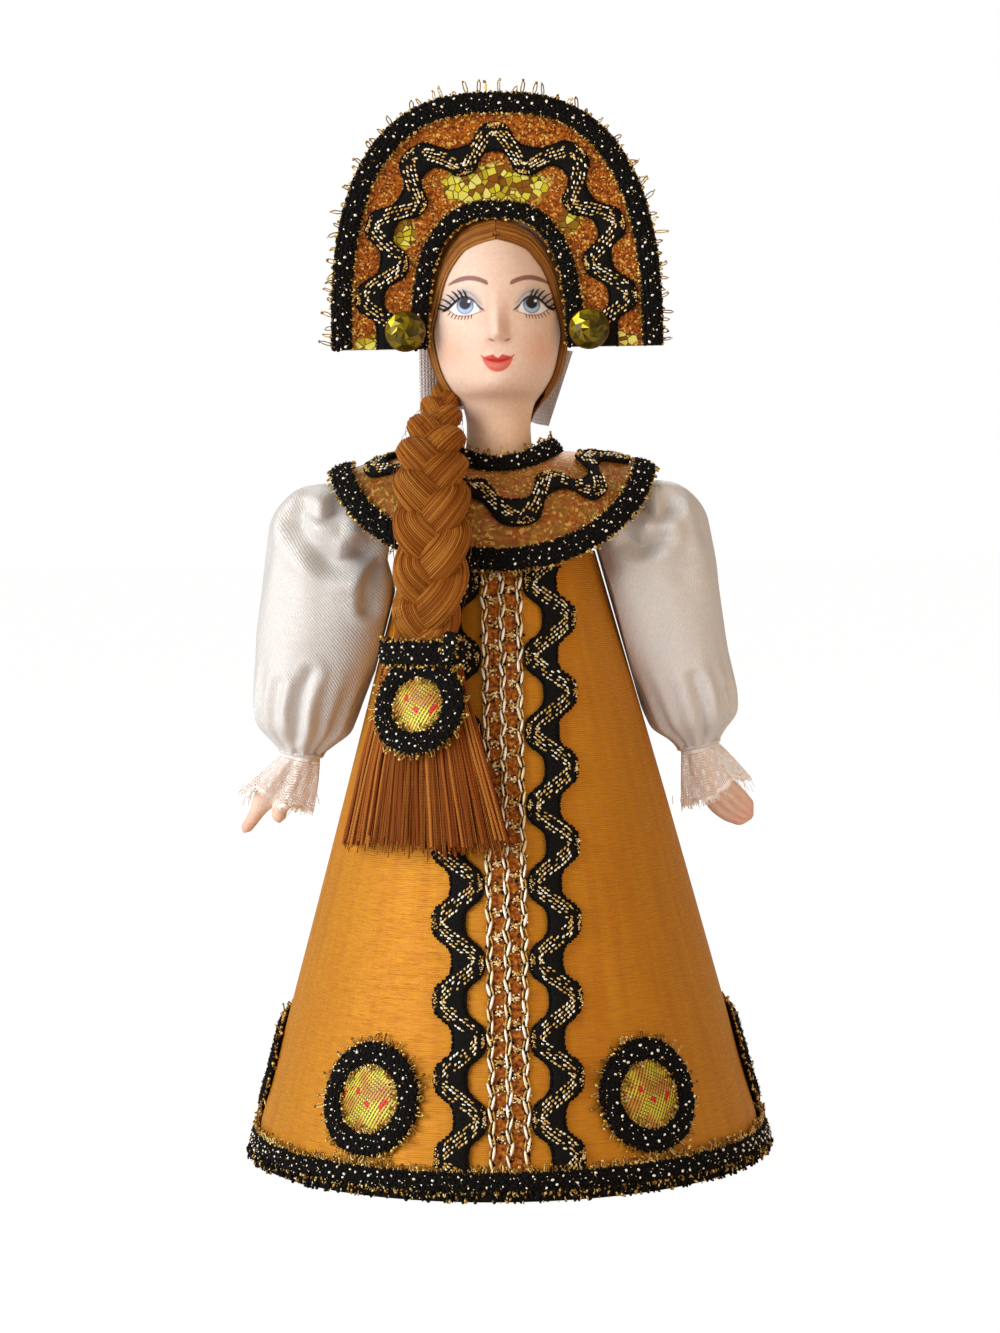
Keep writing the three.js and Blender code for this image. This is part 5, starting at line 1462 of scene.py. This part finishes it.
# White satin: a fine slanted twill that glints here and there.
whiteSatin = newMaterial("white_satin", Roughness=0.33, Specular_IOR_Level=0.7)
whiteWeave = noise(whiteSatin, clothPlace(whiteSatin, (4, 1.2, 1)), 1.0, 2)
whiteTwill = bands(whiteSatin, clothPlace(whiteSatin), 0.95, "DIAGONAL", 1.5)
whiteShade = ramp(whiteSatin, whiteWeave, [(0.3, 206, 204, 204), (0.7, 221, 219, 218)])
setShader(whiteSatin, {
    "Base Color": mixed(whiteSatin, product(whiteSatin, whiteTwill, 0.16), whiteShade, colour(184, 181, 182)),
    "Normal": relief(whiteSatin, whiteTwill, 0.0001, 0.5, relief(whiteSatin, whiteWeave, 0.0002, 0.6))})


# Puffed sleeve, seamed on the side next to the dress: pleats at the shoulder and wrist, and
# listed hollows, each a line, a depth and a width.
def sleevePoints(arm, hollows):
    top = np.linspace(0.1, 1, 26)[:, None] * math.pi / 2
    depth = np.linspace(0, sleeves["length"] + 0.1, 110)[1:, None]
    angle = np.linspace(-math.pi, math.pi, 201)[None, :]
    phase = arm["side"] * 0.8
    puffRadius = float(arm["puff"](0)[0])

    def loose(depth):
        return 0.018 * np.sin(2 * angle + depth * 0.11 + phase) + 0.012 * np.sin(5 * angle - depth * 0.2)

    pleats = 0.035 * np.cos(9 * angle + phase)
    folds = (pleats + loose(0)) * np.sin(top) ** 2 + pleats * np.sin(2 * top)
    topRadius = puffRadius * np.sin(top) * (1 + folds)
    crown = triples(topRadius * np.cos(angle), topRadius * np.sin(angle), puffRadius * np.cos(top))
    wristGather = smooth(20, 38, depth)
    shoulderGather = 1 - smooth(0, 16, depth)
    fine = np.cos(15 * angle + 1.3 * np.sin(2 * angle)) * 0.055 + np.cos(8 * angle + 2.0) * 0.045
    radius = arm["puff"](depth)[..., 0]
    inner = 0.2 * smooth(0, 1, -np.cos(angle)) * smooth(0, 8, depth) * (1 - smooth(14, 34, depth))
    radius = radius * (1 + wristGather * fine + shoulderGather * pleats + loose(depth) + inner)
    sag = sleeveSag(depth)[..., 0]
    body = triples(radius * np.cos(angle) + sag, radius * np.sin(angle), -depth)
    local = np.concatenate([crown, body])
    points = armPlace(arm, local)
    out = unit(local - np.array([0, 0, 1]) * np.minimum(local[..., 2:], 0))
    out = armPlace(arm, out) - armPlace(arm, np.zeros(3))
    front = smooth(-1, 3, -points[..., 1])
    for line, deep, width in hollows:
        away = distanceTo(points, line)
        move = -deep * bump(away, 0, width) + 0.42 * deep * bump(away, 2.1 * width, width)
        points = points + (move * front)[..., None] * out
    return clearOfDress(points, sleeves["clearance"]), angle


leftHollows = [
    ([(26.5, 123), (29.5, 120.5), (32, 122.5)], 1.9, 1.5),
    ([(23.5, 116), (26.5, 114.6), (30, 116.5)], 2.0, 1.5),
    ([(29, 112), (33, 110), (37, 111)], 0.5, 1.6),
    ([(36, 90), (38, 84), (38.5, 79)], 0.6, 1.0),
    ([(41.5, 88), (41.5, 82), (40.5, 78)], 0.5, 0.9)]
rightHollows = [
    ([(-37.5, 120), (-34.5, 115), (-30, 112.5), (-26, 114.5)], 2.2, 2.0),
    ([(-22.5, 112), (-24.5, 108.5), (-25, 104)], 1.1, 1.3),
    ([(-29, 123.5), (-33, 121.5), (-36, 123)], 1.3, 1.3),
    ([(-36, 92), (-38.5, 86), (-39, 80)], 0.7, 1.1),
    ([(-42, 90), (-42.5, 84), (-41, 78.5)], 0.5, 1.0)]


# The puff, and a narrow band round the wrist.
def addSleeve(arm, hollows):
    points, angle = sleevePoints(arm, hollows)
    down = runLengths(points[:, points.shape[1] // 2])
    puff = surfacePart(points, whiteSatin, cloth=triples(angle * sleeves["meanRadius"], down[:, None], 0.0))
    turn = around(40)
    radius = sleeves["wristRadius"]
    ring = triples(radius * np.cos(turn), radius * np.sin(turn), -sleeves["length"])
    band = armPlace(arm, ring)
    middle = armPlace(arm, np.array([0, 0, -sleeves["length"]]))
    elastic = bandPart(courseOf(band, unit(band - middle), True), 1.0, -0.3, 0.6, whiteSatin, 0.6, 2)
    name = arm["name"]
    sleeve = addPiece("satin_sleeve_" + name, [puff, elastic],
                      ["sleeve_" + name, "sleeve_wadding_" + name], "arm_" + name)


laceCloth = grainedMaterial("cuff_lace", 0.8, [(0.3, 236, 224, 218), (0.7, 250, 247, 244)],
                            Roughness=0.75, Sheen_Weight=0.2)
cuffs = {
    "topRadius": 3.5, "length": 10.0, "clearance": 0.9, "threadRadius": 0.07, "meanRadius": 10.5,
    "clothLength": 10.2, "netPitch": 0.96, "flowerPitch": 3.0}


# Lace frill: a ruffled net with round holes, a closer foot and a ragged scalloped edge.
def addCuff(arm):
    rows, columns = 64, 420
    share = np.linspace(0, 1, rows)[:, None]
    angle = around(columns)[None, :]
    ruffle = 0.75 * np.cos(7 * angle + 0.5) + 0.35 * np.cos(12 * angle + 2 * share) + 0.25 * np.cos(3 * angle)
    radius = cuffs["topRadius"] + 3.0 * share ** 0.85 + ruffle * share ** 0.8
    scallops = -0.06 * np.abs(np.sin(10 * angle)) + 0.05 * np.sin(3 * angle + 1.0) - 0.16 * np.cos(angle)
    curl = 0.5 * np.sin(5 * angle + 3) * share ** 2
    depth = sleeves["length"] + 0.25 + share * cuffs["length"] * (1 + scallops) + curl
    local = triples(radius * np.cos(angle) + arm["flare"] * share ** 1.4, radius * np.sin(angle), -depth)
    points = clearOfDress(armPlace(arm, local), cuffs["clearance"])
    along, across = np.broadcast_arrays(angle * cuffs["meanRadius"], share * cuffs["clothLength"])
    part = surfacePart(points, laceCloth, False, True, triples(along, across, 0.0))
    row = np.floor(across / cuffs["netPitch"] * 2)
    net = np.cos(tau * along / 0.95 + np.pi * row) * np.cos(tau * across / cuffs["netPitch"])
    flower = np.cos(tau * along / 3.3) * np.cos(tau * across / cuffs["flowerPitch"])
    solid = (np.abs(net) < 0.52) | (flower > 0.72) | (across < 0.7) | (np.abs(across - 9.3) < 0.35)
    ragged = share < 1 - 0.07 * (random.random((1, columns)) > 0.5)
    part["faces"] = part["faces"][(solid & ragged)[:-1].ravel()]
    steps = np.linspace(0, 1, 6)
    threads = []
    for _ in range(46):
        start = uniform(0, tau)
        radius = 6.3 + 0.8 * normal() + 0.5 * steps
        depth = sleeves["length"] + 9.0 + uniform(-2, 1) + 1.6 * steps
        sway = start + normal(0, 0.12) * steps
        threads.append(triples(radius * np.cos(sway) + arm["flare"], radius * np.sin(sway), -depth))
    threads = clearOfDress(armPlace(arm, np.array(threads)), cuffs["clearance"])
    fringe = tubesPart(threads, cuffs["threadRadius"], laceCloth, 3)
    name = arm["name"]
    cuff = addPiece("cuff_lace_" + name, [part, fringe], ["cuff_" + name], "arm_" + name)


# Left hand: a mitten of fingers held together. Right hand: fingers together, drawn to a point, and a
# thumb. Each row is a drop below the sleeve's end, x, half-width and half-thickness.
hands = {
    "top": -3.6, "mittenTip": 15.9, "fingerTip": 16.5, "thumbTop": 6, "thumbTip": 13.7,
    "shade": (222, 150, 128)}
mittenOvals = smoothTable([
    (hands["top"], 0, 2.7, 2.7), (0, 0, 2.7, 2.6), (5, 0.3, 2.9, 2.4), (9, 1.5, 3.5, 2.2),
    (12, 3.2, 3.6, 2.0), (14, 4.9, 3.1, 1.8), (15.3, 6.2, 2.1, 1.3), (hands["mittenTip"], 6.9, 0.4, 0.3)])
fingerOvals = smoothTable([
    (hands["top"], 0, 2.7, 2.7), (0, 0.3, 2.7, 2.6), (3, 1.5, 2.8, 2.4), (6, 3.4, 3.2, 2.2),
    (8, 4.9, 3.1, 2.0), (10, 6.1, 2.2, 1.7), (12.3, 7.1, 1.45, 1.35), (14.5, 8.1, 1.15, 1.1),
    (15.9, 8.9, 0.85, 0.8),
    (hands["fingerTip"], 9.2, 0.2, 0.2)])
thumbOvals = smoothTable([
    (hands["thumbTop"], 2.8, 1.2, 1.3), (9.1, 2.8, 1.5, 1.4), (11.5, 2.8, 1.45, 1.35), (13, 2.7, 1.1, 1.0),
    (hands["thumbTip"], 2.6, 0.2, 0.2)])


# Flat ovals square to a bent line, cut by grooves between the fingers, with painted shade in the grooves.
def ovalTube(arm, ovals, low, high, forward=0, grooves=()):
    drop = np.linspace(low, high, 60)
    drop = high - (high - low) * (1 - (drop - low) / (high - low)) ** 1.3
    x, wide, thick = np.moveaxis(ovals(drop), -1, 0)
    line = triples(x, -forward, -(sleeves["length"] + drop))
    ahead = unit(np.gradient(line, axis=0))
    across = triples(-ahead[:, 2], 0.0, ahead[:, 0])
    angle = around(56)
    flat = np.cos(angle)
    cut = sum((bump(flat, groove, 0.09) for groove in grooves), np.zeros(len(angle)))
    depth = 1 - 0.3 * cut * smooth(8.2, 10.5, drop)[:, None]
    points = line[:, None] + across[:, None] * (wide[:, None] * flat)[..., None]
    points = points + np.array([0, 1, 0]) * (thick[:, None] * np.sin(angle) * depth)[..., None]
    part = surfacePart(armPlace(arm, points), porcelain, False, True, points)
    # Painted shade: the paint darkens in the grooves between the fingers; it also darkens towards the tips.
    shaded = 0.35 * smooth(11, 16, drop)[:, None, None] + 0.7 * (1 - depth)[..., None]
    tint = np.array(skinTone) + np.subtract(hands["shade"], skinTone) * shaded
    part["paint"] = linearColours(tint).reshape(-1, 4)
    return part


# Porcelain hand that starts inside the cuff.
def addHand(arm, thumb):
    if thumb:
        parts = [ovalTube(arm, fingerOvals, hands["top"], hands["fingerTip"], -0.3),
                 ovalTube(arm, thumbOvals, hands["thumbTop"], hands["thumbTip"], 0.9)]
    else:
        parts = [ovalTube(arm, mittenOvals, hands["top"], hands["mittenTip"], grooves=(-0.5, 0.0, 0.5))]
    name = arm["name"]
    addPiece("porcelain_hand_" + name, parts, ["hand_" + name], "arm_" + name)


for arm, hollows in ((leftArm, leftHollows), (rightArm, rightHollows)):
    addSleeve(arm, hollows)
    addCuff(arm)
    addHand(arm, arm["side"] < 0)
print("arms")


# Plait over the right shoulder, its tie, medallion and tassel

plaitBody = "hanging_plait"
tie = {
    "middle": 96.3, "x": -14.6, "out": 6.3, "halfWidth": 8.2, "halfDepth": 3.9,
    "braidWidth": 4.2, "cutEndWidth": 2.6, "thickness": 1.1}
tieAngle = math.asin(tie["x"] / (skirtRadius(tie["middle"]) + tie["out"]))


# Point out from the skirt by a level distance.
def beforeSkirt(angle, z, distance):
    radius = skirtRadius(z) + distance
    return triples(radius * np.sin(angle), -radius * np.cos(angle), z)


tieCentre = beforeSkirt(tieAngle, tie["middle"], tie["out"])
bendStart = (-11.5, 3.0, 142.0)
bendEnd = (-14.0, -9.0, 137.0)
# Middle line of the plait with its half-width and half-depth.
plaitRows = [
    (-5.5, 9.8, 143.6, 2.2, 1.8), (-8.8, 6.6, 144.0, 2.5, 2.1), (-10.2, 1.4, 143.4, 3.0, 2.6),
    (-10.9, -4.4, 140.6, 4.2, 3.2), (-11.8, -11.0, 136.6, 5.9, 3.8), (-12.5, -17.8, 131.4, 7.1, 4.2),
    (-12.4, -23.4, 124.4, 7.5, 4.3), (-12.4, -26.2, 117.0, 7.5, 4.3), (-12.8, -27.0, 109.5, 7.4, 4.2),
    (-13.6, -26.6, 103.4, 7.0, 3.8), (tieCentre[0], tieCentre[1] - 0.2, 99.4, 7.0, 3.2),
    (tieCentre[0], tieCentre[1], 96.0, 6.6, 2.8)]
plaitPeriod = 23.8


# Twisted yarn, lighter or darker by its tone.
def yarnMaterial(name, dark, stops):
    material = newMaterial(name, Roughness=0.6, Specular_IOR_Level=0.15)
    twist = bands(material, clothPlace(material, (1, 2, 1)), 1.1, "DIAGONAL")
    setShader(material, {
        "Base Color": mixed(material, product(material, twist, 0.6), byTone(material, stops), dark),
        "Normal": relief(material, twist, 0.0002, 0.5)})
    return material


yarn = yarnMaterial("plait_yarn", colour(112, 54, 8), [
    (0.0, 146, 78, 16), (0.5, 176, 104, 28), (1.0, 206, 140, 58)])
tasselYarn = yarnMaterial("tassel_yarn", colour(108, 44, 8), [
    (0.0, 116, 52, 12), (0.5, 168, 92, 26), (1.0, 206, 136, 56)])


# Points round ovals along a line: half-width along side, half-depth along over.
def ovalRings(middle, side, over, halfWidth, halfDepth, turn):
    wide = (halfWidth * np.cos(turn))[..., None] * side
    return middle + wide + (halfDepth * np.sin(turn))[..., None] * over


# Three bundles of yarn that cross over each other: each comes over from an edge to the middle.
def addPlait():
    steps, threads, stray = 130, 54, 70
    rows = curveThrough(plaitRows, 900)
    lengths = runLengths(rows[:, :3])
    distance = np.linspace(0, lengths[-1], steps)
    line = readAt(distance, lengths, rows)
    centre, wide, deep = line[:, :3], line[:, 3], line[:, 4]
    ahead = unit(np.gradient(centre, axis=0))
    facing = tieAngle * smooth(0.45, 1, distance / lengths[-1])
    across = triples(np.cos(facing), np.sin(facing), 0.0)
    across = unit(across - (ahead * across).sum(1, keepdims=True) * ahead)
    out = np.cross(ahead, across)
    end = smooth(lengths[-1] - 9, lengths[-1] - 1, distance)
    parts = []
    for bundle in range(3):
        phase = tau * (distance / plaitPeriod + bundle / 3) + 0.9
        lateral = wide * 0.5 * np.sin(phase) * (1 - 0.25 * end)
        front = deep * 0.42 * -np.sin(2 * phase) * (1 - 0.7 * end)
        middle = centre + lateral[:, None] * across + front[:, None] * out
        direction = unit(np.gradient(middle, axis=0))
        side = unit(np.cross(direction, out))
        over = np.cross(side, direction)
        halfWidth = wide * (0.47 + 0.04 * np.cos(2 * phase))
        halfDepth = deep * 0.56
        turn = tau * np.arange(threads)[:, None] / threads + 0.35 * np.sin(phase)
        jitter = 1 + normal(0, 0.022, (threads, 1))
        jitter = jitter + 0.02 * np.sin(distance * 0.7 + uniform(0, tau, (threads, 1)))
        shell = ovalRings(middle, side, over, halfWidth * jitter, halfDepth * jitter, turn)
        radius = 0.17 + 0.06 * random.random((threads, 1))
        parts.append(tubesPart(shell, radius, yarn, 4))
        core = ovalRings(middle, side, over, halfWidth * 0.95, halfDepth * 0.95, around(20)[:, None])
        parts.append(surfacePart(np.swapaxes(core, 0, 1), yarn, False, True))
    start = uniform(0.05, 0.9, stray) * lengths[-1]
    span = np.linspace(0, 1, 12)
    reach = start[:, None] + span * uniform(3, 7, (stray, 1))
    place, sideways, outwards = (readAt(reach, distance, each) for each in (centre, across, out))
    width = np.interp(reach, distance, wide)[..., None]
    turn = uniform(-0.2, math.pi + 0.2, (stray, 1)) + normal(0, 0.4, (stray, 1)) * span
    turn = turn[..., None]
    bow = (0.3 * np.sin(math.pi * span))[None, :, None]
    hairs = place + sideways * np.cos(turn) * width * (0.94 + 0.1 * bow)
    hairs = hairs + outwards * np.sin(turn) * width * (0.62 + 0.1 * bow)
    parts.append(tubesPart(hairs, 0.05, yarn, 3))
    plait = addPiece("yarn_plait", parts, ["braid_upper", "braid"], None)
    start, end = (tuple(np.array(place) * mm) for place in (bendStart, bendEnd))
    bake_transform(plait)


# A braid round the end of the plait, and its cut end, which stands up over the braid's left side.
def addTie():
    turn = around(90)[:, None]
    along = np.array([math.cos(tieAngle), math.sin(tieAngle), 0])
    out = np.array([math.sin(tieAngle), -math.cos(tieAngle), 0])
    line = tieCentre + np.cos(turn) * tie["halfWidth"] * along + np.sin(turn) * tie["halfDepth"] * out
    ups = unit(np.cos(turn) * tie["halfDepth"] * along + np.sin(turn) * tie["halfWidth"] * out)
    parts = braidTrim(courseOf(line, ups, True), tie["braidWidth"], -0.4, tie["thickness"], (0.4, 1.3), 1.5)
    share = np.linspace(0, 1, 20)[:, None]
    cutEnd = tieCentre + 7.6 * along + 3.2 * out + [0, 0, -0.5] + share * (0.8 * along + [0, 0, 4.4])
    course = courseOf(cutEnd, np.tile(out, (20, 1)))
    parts += braidTrim(course, tie["cutEndWidth"], -0.3, tie["thickness"], (0.3, 0.8), 1.4)
    addPiece("plait_tie", parts, ["braid_tie"], plaitBody)


# By minus the height: the tassel's right and left edge, and how far its back and its front are out
# from the skirt.
tasselRows = smoothTable([
    (-99, -22.0, -7.6, 2.4, 6.6), (-92.4, -22.4, -7.2, 1.9, 6.9), (-89, -23.2, -6.4, 1.8, 7.0),
    (-83, -24.6, -4.8, 1.8, 6.8), (-76, -26.6, -2.8, 1.8, 6.6), (-69, -28.4, -0.9, 1.8, 6.2),
    (-62, -30.2, 0.9, 1.8, 5.6), (-58, -31.2, 1.9, 1.8, 5.4)])
tassel = {"top": 94.5, "bottom": 62.2, "fineTop": 93, "fineLength": 31.5}


# Yarn ends that fan out below the tie: share across, share from the dress outwards. Fine threads hang
# in front of them.
def addTassel():
    layers, perLayer, steps, fine = 5, 52, 22, 220
    across = np.linspace(-0.97, 0.97, perLayer) + normal(0, 0.012, (layers, perLayer))
    across = across.ravel()
    outward = np.repeat(np.linspace(0.1, 0.97, layers), perLayer) + normal(0, 0.03, layers * perLayer)
    count = len(across)
    length = normal(0, 0.55, count) + 0.5 * np.sin(across * 5)
    fall = np.linspace(0, 1, steps)
    z = tassel["top"] - (tassel["top"] - tassel["bottom"] + length[:, None]) * fall
    right, left, back, front = np.moveaxis(tasselRows(-z), -1, 0)
    wander = normal(0, 0.35, (count, 1)) * fall ** 2
    wander = wander + 0.12 * np.sin(6 * fall + uniform(0, tau, (count, 1)))
    x = (right + left) / 2 + (left - right) / 2 * across[:, None] + wander
    rounded = np.sqrt(np.clip(1 - 0.75 * np.abs(across) ** 3, 0, 1))[:, None]
    distance = back + (front - back) * (0.5 + (outward[:, None] - 0.5) * rounded)
    distance = distance + 0.1 * normal(0, 1, (count, 1))
    paths = beforeSkirt(np.arcsin(x / (skirtRadius(z) + distance)), z, np.maximum(distance, back + 0.35))
    parts = [tubesPart(paths, uniform(0.27, 0.36, (count, 1)), tasselYarn, 6)]
    across = uniform(-0.98, 0.98, (fine, 1))
    z = tassel["fineTop"] - (tassel["fineLength"] + normal(0, 1.0, (fine, 1))) * fall
    right, left, back, front = np.moveaxis(tasselRows(-z), -1, 0)
    x = (right + left) / 2 + (left - right) / 2 * across + normal(0, 0.6, (fine, 1)) * fall
    rounded = np.sqrt(np.clip(1 - 0.75 * np.abs(across) ** 3, 0, 1))
    distance = back + (front - back) * rounded + 0.15
    paths = beforeSkirt(np.arcsin(x / (skirtRadius(z) + distance)), z, distance)
    parts.append(tubesPart(paths, 0.11, tasselYarn, 3))
    addPiece("yarn_tassel", parts, ["tassel"], plaitBody)


plaitMedallion = {"x": -15.5, "z": 84.9, "radius": 9.1, "lift": 7.6}


# A medallion that lies on the front of the tassel.
def addPlaitMedallion():
    bend = skirtRadius(plaitMedallion["z"]) + plaitMedallion["lift"]
    addMedallion("plait_medallion", ["braid_medallion_ring", "braid_medallion_patch"],
                 plaitMedallion["radius"], math.asin(plaitMedallion["x"] / bend), plaitMedallion["z"],
                 plaitMedallion["lift"], bend, (0.7, 1.8), plaitBody)


addPlait()
addTie()
addTassel()
addPlaitMedallion()
print("plait")


# CAD pieces that are shown as they are

card = newMaterial("card", Roughness=0.9)
cardGrain = noise(card, addNode(card, "ShaderNodeTexCoord").outputs["Object"], 900, 3)
setShader(card, {"Base Color": ramp(card, cardGrain, [(0.3, 168, 146, 112), (0.7, 192, 170, 134)]),
                 "Normal": relief(card, cardGrain, 0.0001, 0.5)})

wire = newMaterial("wire", Metallic=1.0, Roughness=0.35)
wireGrain = noise(wire, addNode(wire, "ShaderNodeTexCoord").outputs["Object"], 1500, 2)
setShader(wire, {"Base Color": ramp(wire, wireGrain, [(0.3, 130, 130, 134), (0.7, 168, 168, 172)])})

for material, slotName, nodes in (
        (card, "card", ("card_cone", "base_disc", "kokoshnik_board")),
        (wire, "wire", ("shoulder_wire", "wire_bend_left", "wire_bend_right", "arm_wire_left",
                        "arm_wire_right"))):
    for node in nodes:
        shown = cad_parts[node]
        shown.data.materials.clear()
        shown.data.materials.append(material)
        for polygon in shown.data.polygons:
            polygon.use_smooth = False
